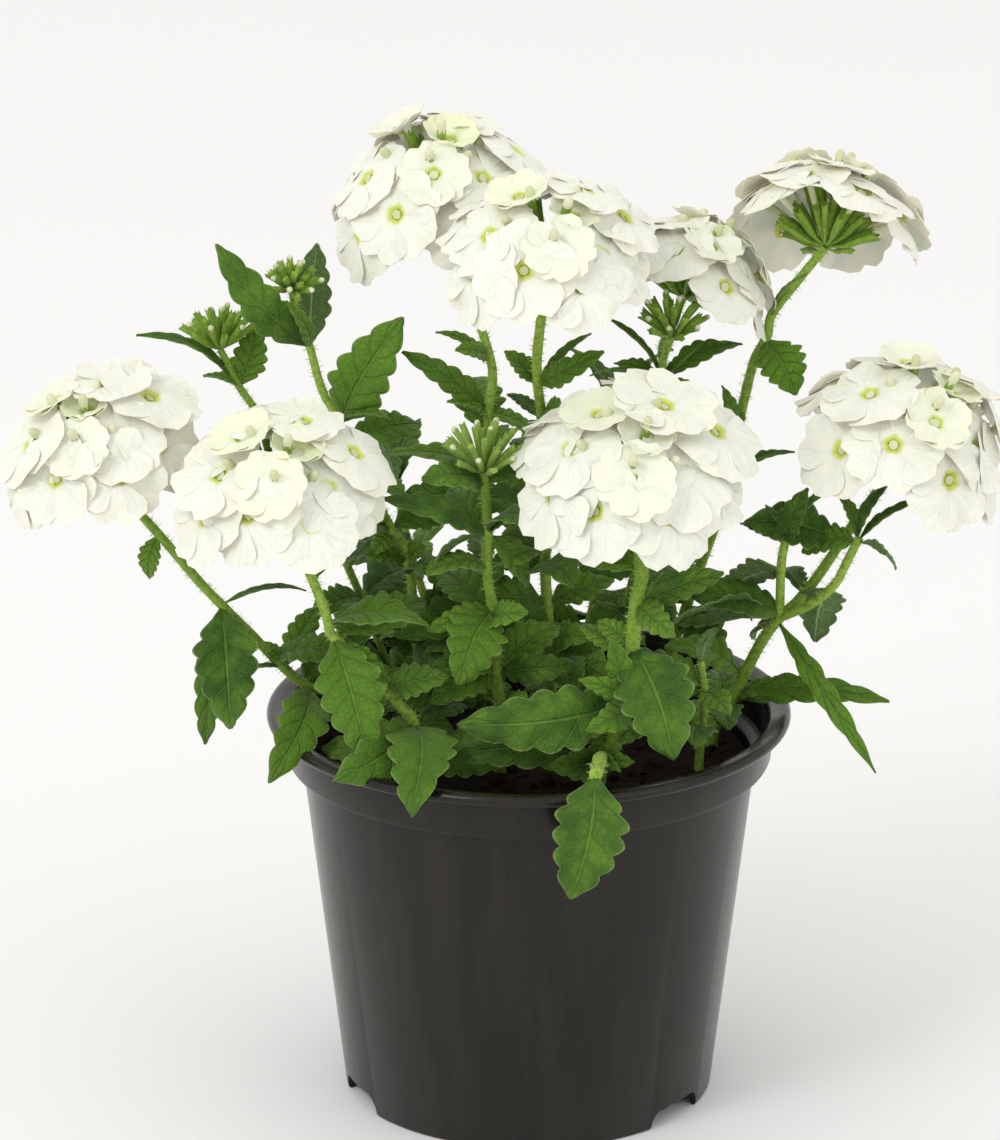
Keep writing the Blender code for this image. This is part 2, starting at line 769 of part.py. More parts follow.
def build_pot(surface):
    """Make the pot with its notches and feet."""
    pot = make_object("pot", turned_solid(pot_profile(), POT_SIDES), surface)
    notches = [make_object(f"notch_{turn:.0f}", notch_block(turn)) for turn in NOTCH_TURNS]
    apply_boolean(pot, notches, "DIFFERENCE", "EXACT")
    feet = [make_object(f"foot_{turn:.0f}", foot_block(turn)) for turn in NOTCH_TURNS]
    apply_boolean(pot, feet, "UNION", "EXACT")
    pot.data.materials.clear()
    pot.data.materials.append(surface)
    pot.data.shade_smooth()
    pot.data.set_sharp_from_angle(angle=math.radians(30.0))


def soil_solid():
    """Return the peat that fills the pot, with an uneven top."""
    draw = random.Random(7)
    sides = 20
    edge = WALL_TOP_RADIUS - WALL - SOIL_GAP
    foot = BASE_RADIUS + 0.7 - WALL - SOIL_GAP
    profile = [
        (0.0, SOIL_TOP),
        (22.0, SOIL_TOP),
        (45.0, SOIL_TOP - 0.4),
        (edge, SOIL_TOP - SOIL_EDGE_DROP),
        (foot, FLOOR_RISE + FLOOR_THICKNESS + FLOOR_GAP),
        (0.0, FLOOR_RISE + FLOOR_THICKNESS + FLOOR_GAP),
    ]
    points, faces = turned_solid(profile, sides)
    uneven = 2 * sides
    lifted = []
    for index, point in enumerate(points):
        lift = draw.uniform(-0.9, 0.9) if 2 <= index < 2 + uneven else 0.0
        lifted.append((point[0], point[1], point[2] + lift))
    return lifted, faces


def build_soil(surface):
    """Make the soil with a plain hole for each stem."""
    soil = make_object("soil", soil_solid(), surface)
    holes = []
    for name, shoot in SHOOTS.items():
        foot = shoot["stem"][0]
        low = (foot[0], foot[1], SOIL_TOP - HOLE_DEPTH - FLOOR_GAP)
        high = (foot[0], foot[1], SOIL_TOP + 6.0)
        width = shoot["radius"][0] + HOLE_GAP
        holes.append(make_object("hole_" + name, tube([low, high], [width, width], 6)))
    apply_boolean(soil, holes, "DIFFERENCE", "EXACT")
    soil.data.materials.clear()
    soil.data.materials.append(surface)


def grow_stems(neighbours):
    """Return each shoot's stem solids, with its fan of calyces or its cluster of buds."""
    grown = {}
    for name, shoot in SHOOTS.items():
        solids = stem_solids(shoot)
        end = Vector(shoot["stem"][-1])
        if name in HEADS:
            axis, size, cap_angle = HEADS[name]
            reach = CALYX_REACH * size
            solids += calyx_fan(end, axis, cap_angle - 20.0, reach, CALYXES, CALYX_RADIUS)
        if name in BUD_CLUSTERS:
            axis, spread, reach = BUD_CLUSTERS[name]
            solids += calyx_fan(end, axis, spread, reach, BUDS, BUD_RADIUS)
        for solid in solids:
            neighbours.add("shoot_" + name, solid)
        grown[name] = solids
    return grown


def grow_heads(neighbours, white):
    """Make the white node of each open head."""
    centres = {name: Vector(SHOOTS[name]["stem"][-1]) for name in HEADS}
    cores = {}
    for name, (axis, size, cap_angle) in HEADS.items():
        cores[name] = head_core(centres[name], axis, size, cap_angle)
        neighbours.add("flowers_" + name, cores[name])
    for seed, name in enumerate(HEADS):
        florets = head_florets(name, centres[name], neighbours, seed)
        for solid in florets:
            neighbours.add("flowers_" + name, solid)
        grown_node("flowers_" + name, [cores[name]] + florets, white)
        print("head", name, "florets", len(florets))


def grow_leaves(grown, neighbours, green):
    """Add the leaves to each shoot and make its node."""
    for name, shoot in SHOOTS.items():
        node = "shoot_" + name
        for index, (place, tip, width, facing) in enumerate(shoot["leaves"]):
            root = leaf_root(shoot, place)
            leaf = clear_leaf(node, root, tip, width, facing, neighbours)
            if leaf is None:
                print("no clear place for leaf", name, index)
                continue
            neighbours.add(node, leaf)
            grown[name].append(leaf)
    for name, solids in grown.items():
        grown_node("shoot_" + name, solids, green)


def main():
    for old in list(bpy.data.objects):
        bpy.data.objects.remove(old)
    green = material("leaf_green", LEAF_GREEN, 0.55)
    white = material("petal_white", PETAL_WHITE, 0.6)
    black = material("pot_black", POT_BLACK, 0.35)
    brown = material("peat_brown", PEAT_BROWN, 0.95)
    build_pot(black)
    build_soil(brown)
    neighbours = Neighbours()
    neighbours.add("pot", turned_solid(pot_profile(), POT_SIDES))
    neighbours.add("soil", soil_solid())
    grown = grow_stems(neighbours)
    grow_heads(neighbours, white)
    grow_leaves(grown, neighbours, green)
    for made in bpy.data.objects:
        made.data.validate()


main()
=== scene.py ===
# %% [markdown]
# # A white verbena in its nursery pot
# The real plant is a trailing verbena in a round black pot, about 13 cm across its lip. It has leafy
# shoots of soft toothed leaves, domed heads of five-lobed white flowers and a few clusters of closed
# buds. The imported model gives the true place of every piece, so each finer piece here starts from it.

# %% Load the frame
import math
import random

import bmesh
import bpy
from mathutils import Matrix, Vector, noise
from mathutils.bvhtree import BVHTree


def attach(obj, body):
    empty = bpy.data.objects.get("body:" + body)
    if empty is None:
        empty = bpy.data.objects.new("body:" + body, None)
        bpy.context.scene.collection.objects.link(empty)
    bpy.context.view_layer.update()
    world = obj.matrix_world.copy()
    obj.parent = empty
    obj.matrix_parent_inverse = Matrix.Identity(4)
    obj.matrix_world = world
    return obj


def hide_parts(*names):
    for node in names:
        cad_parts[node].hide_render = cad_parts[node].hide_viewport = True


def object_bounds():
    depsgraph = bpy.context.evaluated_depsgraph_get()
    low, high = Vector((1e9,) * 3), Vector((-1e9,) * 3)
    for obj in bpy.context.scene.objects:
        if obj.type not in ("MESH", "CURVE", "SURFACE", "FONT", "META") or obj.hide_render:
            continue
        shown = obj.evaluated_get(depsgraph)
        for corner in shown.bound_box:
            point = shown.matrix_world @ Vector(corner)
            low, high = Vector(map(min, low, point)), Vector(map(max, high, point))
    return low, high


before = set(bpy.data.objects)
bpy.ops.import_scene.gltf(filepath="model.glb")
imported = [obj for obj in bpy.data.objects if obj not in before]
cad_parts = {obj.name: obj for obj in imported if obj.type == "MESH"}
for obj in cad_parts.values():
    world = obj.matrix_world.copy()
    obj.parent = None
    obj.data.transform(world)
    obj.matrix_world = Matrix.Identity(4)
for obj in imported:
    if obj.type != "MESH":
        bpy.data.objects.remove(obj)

CAD_BOX = [list(corner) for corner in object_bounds()]
MM = 0.001
print("frame nodes:", len(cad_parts))

# %% [markdown]
# ## Camera
# The photograph looks down at the rim by about 20 degrees from 1.6 m away, with a long lens. The
# camera is turned until the middle of the rim falls where the photograph has it.

# %% Camera
IMAGE_WIDTH = 1000
IMAGE_HEIGHT = 1140
POT_HEIGHT = 99.6 * MM
CAMERA_HEIGHT_ANGLE = math.radians(20.1)
CAMERA_DISTANCE = 1.6
FOCAL_PIXELS = 6448.0
RIM_COLUMN = 529.0
RIM_ROW = 705.0


def place_camera():
    """Make the camera and aim it so that the rim's middle lies at its own column and row."""
    rim = Vector((0.0, 0.0, POT_HEIGHT))
    back = Vector((0.0, -math.cos(CAMERA_HEIGHT_ANGLE), math.sin(CAMERA_HEIGHT_ANGLE)))
    right = Vector((1.0, 0.0, 0.0))
    up = right.cross(-back)
    sideways = (RIM_COLUMN - IMAGE_WIDTH / 2.0) / FOCAL_PIXELS
    downward = (RIM_ROW - IMAGE_HEIGHT / 2.0) / FOCAL_PIXELS
    aim = (-back - right * sideways + up * downward).normalized()
    lens = bpy.data.cameras.new("camera")
    lens.lens = lens.sensor_width * FOCAL_PIXELS / IMAGE_HEIGHT
    camera = bpy.data.objects.new("camera", lens)
    camera.location = rim + back * CAMERA_DISTANCE
    level = aim.cross(Vector((0.0, 0.0, 1.0))).normalized()
    turn = Matrix((level, level.cross(aim), -aim)).transposed()
    camera.rotation_euler = turn.to_euler()
    bpy.context.scene.collection.objects.link(camera)
    bpy.context.scene.camera = camera
    return camera


camera = place_camera()
print("camera lens:", round(camera.data.lens, 1), "mm")

# %% [markdown]
# ## Studio
# A white sheet stands for the studio floor. A broad key light from the upper left, a weaker fill and
# a bright even sky give the soft shading of a catalogue picture. The plain "Standard" view keeps the
# greens as rich and the white as clean as they are in the photograph.

# %% Floor and lights
FLOOR_SIZE = 6.0
FLOOR_WHITE = (0.9, 0.9, 0.9, 1.0)
SKY_WHITE = (1.0, 0.99, 0.97, 1.0)
SKY_STRENGTH = 0.96
LAMP_AIM = Vector((0.0, 0.0, 0.15))
# Each lamp: its place in metres, its size and its power in watts.
LAMPS = {"key": ((-0.9, -1.0, 1.3), 0.6, 8.0), "fill": ((1.2, -0.9, 0.7), 1.0, 2.0)}


def area_light(name, place, size, power):
    """Hang a soft square light that faces the plant."""
    lamp = bpy.data.lights.new(name, "AREA")
    lamp.shape = "SQUARE"
    lamp.size = size
    lamp.energy = power
    holder = bpy.data.objects.new(name, lamp)
    holder.location = place
    holder.rotation_euler = (LAMP_AIM - Vector(place)).to_track_quat("-Z", "Y").to_euler()
    bpy.context.scene.collection.objects.link(holder)


def studio():
    """Make the floor, the sky and the lights."""
    sheet = bmesh.new()
    bmesh.ops.create_grid(sheet, x_segments=1, y_segments=1, size=FLOOR_SIZE / 2.0)
    mesh = bpy.data.meshes.new("floor")
    sheet.to_mesh(mesh)
    sheet.free()
    floor = bpy.data.objects.new("floor", mesh)
    bpy.context.scene.collection.objects.link(floor)
    pale = bpy.data.materials.new("floor_white")
    pale.use_nodes = True
    paint = pale.node_tree.nodes["Principled BSDF"]
    paint.inputs["Base Color"].default_value = FLOOR_WHITE
    paint.inputs["Roughness"].default_value = 0.8
    mesh.materials.append(pale)
    sky = bpy.data.worlds.new("sky")
    sky.use_nodes = True
    glow = sky.node_tree.nodes["Background"]
    glow.inputs["Color"].default_value = SKY_WHITE
    glow.inputs["Strength"].default_value = SKY_STRENGTH
    bpy.context.scene.world = sky
    bpy.context.scene.view_settings.view_transform = "Standard"
    for name, (place, size, power) in LAMPS.items():
        area_light(name, place, size, power)


studio()
print("lamps:", ", ".join(LAMPS))

# %% [markdown]
# ## Shader maths
# A finish is easier to read as a formula. This small class wraps a socket, so that plus, minus and
# times signs lay down Math nodes.

# %% Socket wrapper


class Wire:
    """A shader socket that can be used in a Python expression."""

    def __init__(self, finish, socket):
        self.finish = finish
        self.socket = socket

    def _maths(self, operation, first, second):
        return self.finish.node("ShaderNodeMath", {"operation": operation}, {0: first, 1: second})

    def __add__(self, other):
        return self._maths("ADD", self, other)

    __radd__ = __add__

    def __sub__(self, other):
        return self._maths("SUBTRACT", self, other)

    def __rsub__(self, other):
        return self._maths("SUBTRACT", other, self)

    def __mul__(self, other):
        return self._maths("MULTIPLY", self, other)

    __rmul__ = __mul__

    def __abs__(self):
        return self._maths("ABSOLUTE", self, 0.0)


print("socket wrapper ready")

# %% [markdown]
# ## One material, laid down by methods
# One method adds any node. The others are the few that the finishes need again and again: noise, a
# smooth step, a mix of two colours and a bump. Each hands back a wrapped socket.

# %% Finish helper


class Finish:
    """A material whose nodes are laid down by expressions."""

    def __init__(self, name, roughness=0.5):
        self.material = bpy.data.materials.new(name)
        self.material.use_nodes = True
        self.tree = self.material.node_tree
        self.shader = self.tree.nodes["Principled BSDF"]
        self.shader.inputs["Roughness"].default_value = roughness

    def node(self, kind, settings=None, sockets=None, output=0):
        """Add a node, with its settings first, then the values or links of its sockets."""
        made = self.tree.nodes.new(kind)
        for key, value in (settings or {}).items():
            setattr(made, key, value)
        for key, value in (sockets or {}).items():
            if isinstance(value, Wire):
                self.tree.links.new(value.socket, made.inputs[key])
            else:
                made.inputs[key].default_value = value
        return Wire(self, made.outputs[output])

    def drive(self, socket, value):
        """Feed a socket of the shader."""
        self.tree.links.new(value.socket, self.shader.inputs[socket])

    def place(self, scale=(1.0, 1.0, 1.0)):
        """Return object coordinates in millimetres, stretched by a scale."""
        spot = self.node("ShaderNodeTexCoord", output="Object")
        grown = tuple(1000.0 * part for part in scale)
        return self.node("ShaderNodeMapping", {}, {"Vector": spot, "Scale": grown})

    def grain(self, spot, scale, detail=3.0, rough=0.5):
        """Return noise from 0 to 1 with features of about one over the scale, in millimetres."""
        sockets = {"Vector": spot, "Scale": scale, "Detail": detail, "Roughness": rough}
        return self.node("ShaderNodeTexNoise", {}, sockets)

    def ease(self, value, low, high, start=0.0, end=1.0):
        """Return a smooth step of the value from start to end."""
        sockets = {"Value": value, "From Min": low, "From Max": high, "To Min": start, "To Max": end}
        return self.node("ShaderNodeMapRange", {"interpolation_type": "SMOOTHSTEP"}, sockets)

    def blend(self, share, first, second):
        """Mix two colours, each a wire or red, green and blue."""
        first = first if isinstance(first, Wire) else (*first, 1.0)
        second = second if isinstance(second, Wire) else (*second, 1.0)
        return self.node("ShaderNodeMix", {"data_type": "RGBA"}, {0: share, 6: first, 7: second}, 2)

    def parts(self, vector):
        """Return the three numbers of a vector or a colour."""
        split = self.node("ShaderNodeSeparateXYZ", {}, {0: vector}).socket.node
        return [Wire(self, split.outputs[index]) for index in range(3)]

    def marks(self):
        """Return the marks on the points: along, aside, under, then age, kind, own."""
        found = []
        for name in ("grain", "tint"):
            found += self.parts(self.node("ShaderNodeAttribute", {"attribute_name": name}, output=1))
        return found

    def bump(self, height, strength, distance):
        """Shape the surface by a height, with the distance in millimetres."""
        sockets = {"Height": height, "Strength": strength, "Distance": distance * MM}
        self.drive("Normal", self.node("ShaderNodeBump", {}, sockets))


print("finish helper ready")

# %% [markdown]
# ## Making pieces
# Every finished piece is one mesh at the origin, riding on the root body. It stands for a node of
# the imported model and takes the finish that it is given.

# %% Piece helper


def make_piece(name, body, material, nodes, sharp=None):
    """Turn a bmesh in millimetres into a finished piece."""
    bmesh.ops.scale(body, vec=(MM, MM, MM), verts=body.verts)
    mesh = bpy.data.meshes.new(name)
    body.to_mesh(mesh)
    body.free()
    mesh.materials.append(material)
    mesh.shade_smooth()
    if sharp:
        mesh.set_sharp_from_angle(angle=math.radians(sharp))
    piece = bpy.data.objects.new(name, mesh)
    bpy.context.scene.collection.objects.link(piece)
    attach(piece, "root")
    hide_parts(*nodes)
    print(name, "triangles:", sum(len(face.vertices) - 2 for face in mesh.polygons))
    return piece


def across(direction, hint):
    """Return the unit vector nearest the hint that stands square on the direction."""
    flat = hint - direction * hint.dot(direction)
    if flat.length < 0.05:
        front = Vector((0.0, -1.0, 0.1))
        flat = front - direction * front.dot(direction)
    return flat.normalized()


def stand(centre, way, turn):
    """Return the matrix that stands a shape, which grows along +Z, on a place and along a way."""
    side = across(way, Vector((0.3, 0.2, 1.0)))
    axes = Matrix((side, way.cross(side), way)).transposed().to_4x4()
    return Matrix.Translation(centre) @ axes @ Matrix.Rotation(turn, 4, "Z")


print("piece helpers ready")

# %% [markdown]
# ## Where everything grows
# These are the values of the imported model, in millimetres: the stems with their leaves, the open
# flower heads and the clusters of closed buds. They were read off the photograph. One small side
# branch with buds is added here, because it is too thin to be missed in the solids.

# %% Shoots, heads and bud clusters
# Each shoot: its stem from the soil up, its branches, and its leaves as
# (where it grows, tip, width, facing). Facing 1 shows the upper side to the front and -1 the back.
SHOOTS = {
    "front_left": {
        "stem": [(-27, -27), (-28, -30, 106), (-31, -30, 110), (-37, -31, 118), (-47, -33, 129),
                 (-48, -33, 130), (-50, -35, 139), (-59, -32, 160)],
        "radius": (1.5, 1.2),
        "leaves": [
            (5, (-39, -46, 103), 16, 0.8), (4, (-34, -32, 117), 6, 0.8), (4, (-41, -22, 133), 6, 0.5),
            (5, (-25, -12, 131), 11, 0.5), (1, (-28, -68, 97), 17, 0.8), (1, (-46, -54, 100), 15, 0.8),
            (1, (-35, -24, 104), 6, 0.5), (1, (-17, -2, 100), 8, 0.5), (1, (-18, -16, 98), 7, 0.6),
        ],
    },
    "far_left": {
        "stem": [(-23, 6), (-31, 2, 94), (-44, -3, 102), (-55, -6, 107), (-61, -8, 113),
                 (-68, -9, 121), (-76, -10, 130), (-81, -11, 136), (-91, -12, 149), (-103, -12, 163)],
        "radius": (1.4, 1.1),
        "leaves": [
            (6, (-73, -24, 102), 16, 0.8), (6, (-80, -8, 92), 8, 0.6), (4, (-71, -12, 112), 3, 0.1),
            (4, (-64, -4, 125), 7, 0.6), (4, (-52, 2, 125), 8, 0.4), (6, (-55, 2, 129), 3, 0.1),
            (3, (-64, -38, 91), 13, 0.8), (8, (-93, -10, 136), 6, 0.4),
        ],
    },
    "left_bud": {
        "stem": [(-25, 12), (-28, 11, 113), (-30, 8, 136), (-34, 8, 143), (-44, 8, 163),
                 (-47, 8, 171), (-51, 9, 179), (-54, 10, 190), (-57, 10, 198), (-58, 10, 204)],
        "radius": (1.3, 1.0),
        "leaves": [
            (7, (-76, 4, 217), 11, 0.8), (7, (-52, 16, 214), 10, -0.5), (7, (-59, 0, 204), 5, 0.5),
            (5, (-31, 2, 199), 15, 0.8), (5, (-34, -6, 176), 5, 0.3), (2, (-42, -6, 135), 10, 0.4),
            (2, (-24, 4, 141), 8, 0.5), (3, (-40, 4, 136), 8, 0.4), (1, (-47, -2, 127), 11, 0.5),
            (1, (-14, -8, 112), 12, 0.6),
        ],
    },
    "far_left_bud": {
        "stem": [(-32, 24), (-46, 22, 130), (-63, 18, 163), (-72, 16, 178), (-74, 15, 183),
                 (-76, 15, 187)],
        "radius": (1.1, 0.9),
        "leaves": [
            (3, (-67, 20, 192), 9, 0.6), (3, (-96, 8, 193), 4, 0.3), (3, (-80, 10, 182), 4, 0.3),
            (2, (-57, 26, 156), 7, 0.5),
        ],
    },
    "middle_bud": {
        "stem": [(-7, -16), (-7, -18, 106), (-8, -19, 116), (-9, -20, 133), (-10, -20, 140),
                 (-10, -20, 152), (-11, -20, 167)],
        "radius": (1.6, 1.2),
        "leaves": [
            (3, (-17, -36, 118), 15, 0.85), (3, (-35, -30, 125), 11, 0.6), (2, (12, -22, 118), 8, 0.7),
            (2, (-24, -30, 111), 10, 0.6), (5, (-35, -28, 167), 8, 0.5), (5, (0, -26, 158), 4, 0.4),
            (5, (-24, -28, 144), 8, -0.4), (5, (0, -14, 135), 9, 0.4),
        ],
    },
    "back_left": {
        "stem": [(-12, 14), (-11, 12, 123), (-10, 9, 158), (-10, 8, 174), (-9, 10, 181),
                 (-10, 13, 187), (-15, 22, 200), (-22, 30, 217)],
        "radius": (1.3, 1.1),
        "leaves": [
            (2, (-31, 4, 154), 10, -0.3), (2, (-36, 0, 165), 9, 0.2), (3, (-31, 4, 190), 7, 0.6),
            (3, (-20, 2, 178), 4, 0.4), (3, (2, 12, 165), 7, 0.3), (5, (-18, 6, 190), 6, 0.5),
            (5, (-23, 14, 192), 3, 0.3), (1, (-27, 20, 131), 10, 0.5), (1, (-34, 2, 114), 12, 0.6),
        ],
    },
    "back_middle": {
        "stem": [(6, 2), (5, 2, 116), (4, 3, 135), (4, 3, 157), (3, -1, 175), (2, -5, 185),
                 (2, -7, 194), (4, -10, 212)],
        "radius": (1.5, 1.2),
        "leaves": [
            (5, (15, 0, 196), 3, 0.3), (5, (18, -12, 195), 7, 0.6), (5, (-6, -2, 192), 6, 0.4),
            (4, (-10, -16, 187), 6, -0.7), (4, (9, -12, 180), 7, 0.5), (4, (-2, -8, 169), 8, 0.3),
            (1, (15, -10, 121), 10, 0.5), (1, (-6, 0, 127), 10, 0.5), (2, (-7, 10, 134), 9, 0.4),
            (1, (26, -14, 106), 11, 0.6),
        ],
    },
    "front": {
        "stem": [(17, -26), (18, -33, 98), (20, -34, 101), (23, -35, 109), (24, -35, 114),
                 (25, -36, 129), (26, -36, 140), (27, -34, 147), (25, -29, 163)],
        "branches": [[(18, -33, 98), (17, -50, 104), (16, -63, 105)]],
        "radius": (2.0, 1.8),
        "leaves": [
            ((0, 2), (10, -73, 77), 18, 0.9), (1, (5, -46, 101), 9, 0.7), (1, (32, -48, 102), 9, 0.7),
            (1, (22, -50, 101), 4, 0.7), (1, (-19, -40, 101), 11, 0.6), (4, (-17, -48, 112), 16, 0.7),
            (4, (20, -42, 132), 8, 0.8), (4, (12, -46, 123), 6, 0.7), (4, (14, -52, 112), 8, 0.8),
            (5, (35, -52, 105), 19, 0.85), (5, (13, -30, 138), 10, 0.7), (6, (47, -34, 146), 8, 0.7),
            (6, (35, -46, 134), 8, 0.7),
        ],
    },
    "right": {
        "stem": [(46, 6), (51, 6, 100), (54, 5, 107), (58, 3, 116), (62, 2, 122), (67, 2, 127),
                 (72, 2, 134), (79, 0, 146), (91, -3, 165)],
        "branches": [
            [(62, 2, 122), (62, -2, 137), (63, -3, 144)],
            [(62, 2, 122), (69, -3, 127), (75, -5, 133), (78, -5, 139), (81, -4, 145)],
        ],
        "radius": (1.6, 1.2),
        "leaves": [
            (4, (85, -24, 91), 6, 0.4), (4, (56, 12, 113), 7, 0.4), (4, (35, -10, 125), 12, -0.5),
            ((0, 1), (48, 4, 128), 12, -0.5), ((0, 1), (68, 8, 127), 8, -0.3),
            ((0, 2), (68, -8, 159), 7, 0.5), ((0, 2), (77, -6, 161), 4, 0.2),
            ((0, 2), (56, -4, 155), 6, -0.4), ((0, 2), (52, 4, 146), 5, 0.3),
            ((1, 2), (71, 4, 115), 12, -0.6), ((1, 4), (90, -10, 139), 8, -0.4),
            ((1, 4), (67, 0, 140), 9, 0.4), ((1, 4), (97, -6, 156), 4, 0.2),
            ((1, 4), (88, -12, 162), 4, 0.4), ((1, 4), (76, 0, 155), 4, 0.2), (1, (89, -6, 103), 8, 0.6),
            (1, (67, 2, 103), 8, 0.3),
        ],
    },
    "back_right": {
        "stem": [(32, 24), (40, 26, 118), (51, 27, 152), (52, 27, 163), (54, 28, 173),
                 (56, 28, 181), (59, 28, 187), (60, 29, 192), (66, 30, 200), (73, 30, 209)],
        "radius": (1.4, 1.1),
        "leaves": [
            (6, (66, 20, 174), 13, 0.5), (6, (50, 24, 182), 8, 0.5), (7, (52, 30, 204), 4, 0.3),
            (7, (68, 24, 204), 4, 0.2), (3, (48, 24, 175), 5, 0.4), (3, (59, 20, 174), 7, 0.4),
            (2, (66, 24, 158), 4, 0.3), (2, (40, 34, 158), 8, 0.5), (1, (28, 30, 127), 10, 0.5),
            (1, (48, 12, 106), 12, 0.6),
        ],
    },
    "behind_middle": {
        "stem": [(18, 26), (25, 28, 117), (30, 28, 149), (33, 26, 177), (33, 26, 185),
                 (38, 27, 197)],
        "radius": (1.3, 1.0),
        "leaves": [
            (3, (19, 20, 194), 3, 0.3), (3, (49, 20, 191), 5, 0.4), (3, (21, 24, 181), 5, 0.4),
            (3, (44, 24, 173), 3, 0.3), (3, (15, 30, 176), 3, 0.2), (3, (53, 34, 183), 7, 0.4),
            (2, (15, 36, 149), 8, 0.5), (1, (38, 12, 126), 11, 0.6), (1, (14, 12, 108), 12, 0.6),
        ],
    },
    "right_low": {
        "stem": [(42, -14), (43, -15, 103), (43, -16, 110), (42, -16, 117)],
        "radius": (1.2, 0.9),
        "leaves": [
            (2, (55, -30, 104), 13, 0.3), (3, (39, -18, 126), 6, -0.4), (3, (46, -14, 125), 6, -0.4),
            (2, (32, -8, 106), 7, 0.5),
        ],
    },
    "rear_left": {
        "stem": [(-18, 34), (-24, 42, 106), (-30, 50, 122), (-34, 55, 140)],
        "radius": (1.3, 1.0),
        "leaves": [
            (1, (-48, 52, 100), 13, -0.5), (1, (-8, 62, 104), 13, -0.5), (2, (-56, 50, 124), 12, -0.4),
            (2, (-16, 66, 128), 12, -0.4), (3, (-44, 52, 160), 10, -0.3), (3, (-28, 70, 152), 10, -0.3),
        ],
    },
    "rear_right": {
        "stem": [(12, 38), (16, 46, 108), (20, 52, 126), (22, 54, 144), (23, 54, 158)],
        "radius": (1.3, 1.0),
        "leaves": [
            (1, (2, 60, 96), 12, -0.5), (1, (38, 58, 104), 13, -0.5), (2, (4, 68, 128), 12, -0.4),
            (2, (42, 60, 130), 13, -0.4), (3, (26, 76, 142), 11, -0.4), (4, (10, 54, 176), 9, -0.3),
            (4, (36, 60, 174), 9, -0.3),
        ],
    },
}

# Each open head: the shoot that bears it, the way it faces, its size and how far round it goes.
HEADS = {
    "front_left": ((-0.10, -0.55, 0.82), 1.12, 94.0),
    "far_left": ((-0.35, -0.45, 0.80), 1.08, 94.0),
    "back_left": ((-0.15, -0.30, 0.90), 1.10, 94.0),
    "back_middle": ((0.05, -0.50, 0.85), 1.10, 94.0),
    "front": ((-0.05, -0.60, 0.80), 1.22, 92.0),
    "right": ((0.35, -0.30, 0.90), 1.12, 94.0),
    "back_right": ((0.15, 0.60, 0.75), 1.02, 80.0),
    "behind_middle": ((0.45, 0.15, 0.85), 0.92, 84.0),
}

# Each cluster of closed buds: its shoot, the way it faces, how wide it fans and its length.
BUD_CLUSTERS = {
    "left_bud": ((0.1, -0.3, 0.9), 85.0, 6.5),
    "far_left_bud": ((-0.1, 0.1, 1.0), 75.0, 10.0),
    "middle_bud": ((0.0, -0.2, 1.0), 72.0, 12.0),
    "behind_middle": ((0.0, -0.2, 1.0), 78.0, 9.5),
}

# The side branch that bears the buds of a shoot whose stem ends in an open head.
SIDE_BRANCH = {"behind_middle": [(33, 26, 177), (33, 17, 184), (35, 11, 192)]}
print("shoots:", len(SHOOTS), "heads:", len(HEADS), "bud clusters:", len(BUD_CLUSTERS))

# %% [markdown]
# ## Finishes
# A shader sees where it is on a blade through two vectors stored on the points. "grain" holds the
# share along the blade, the place across it and whether this is the underside. "tint" holds the
# age, the kind of surface and a random number of its own for each leaf or flower.

# %% Leaf finish
# A leaf has as many side veins as teeth, and a vein leans forward by VEIN_LEAN of their spacing.
LEAF_KIND = 0.0
STEM_KIND = 1.0
TEETH = 6
VEIN_LEAN = 1.1


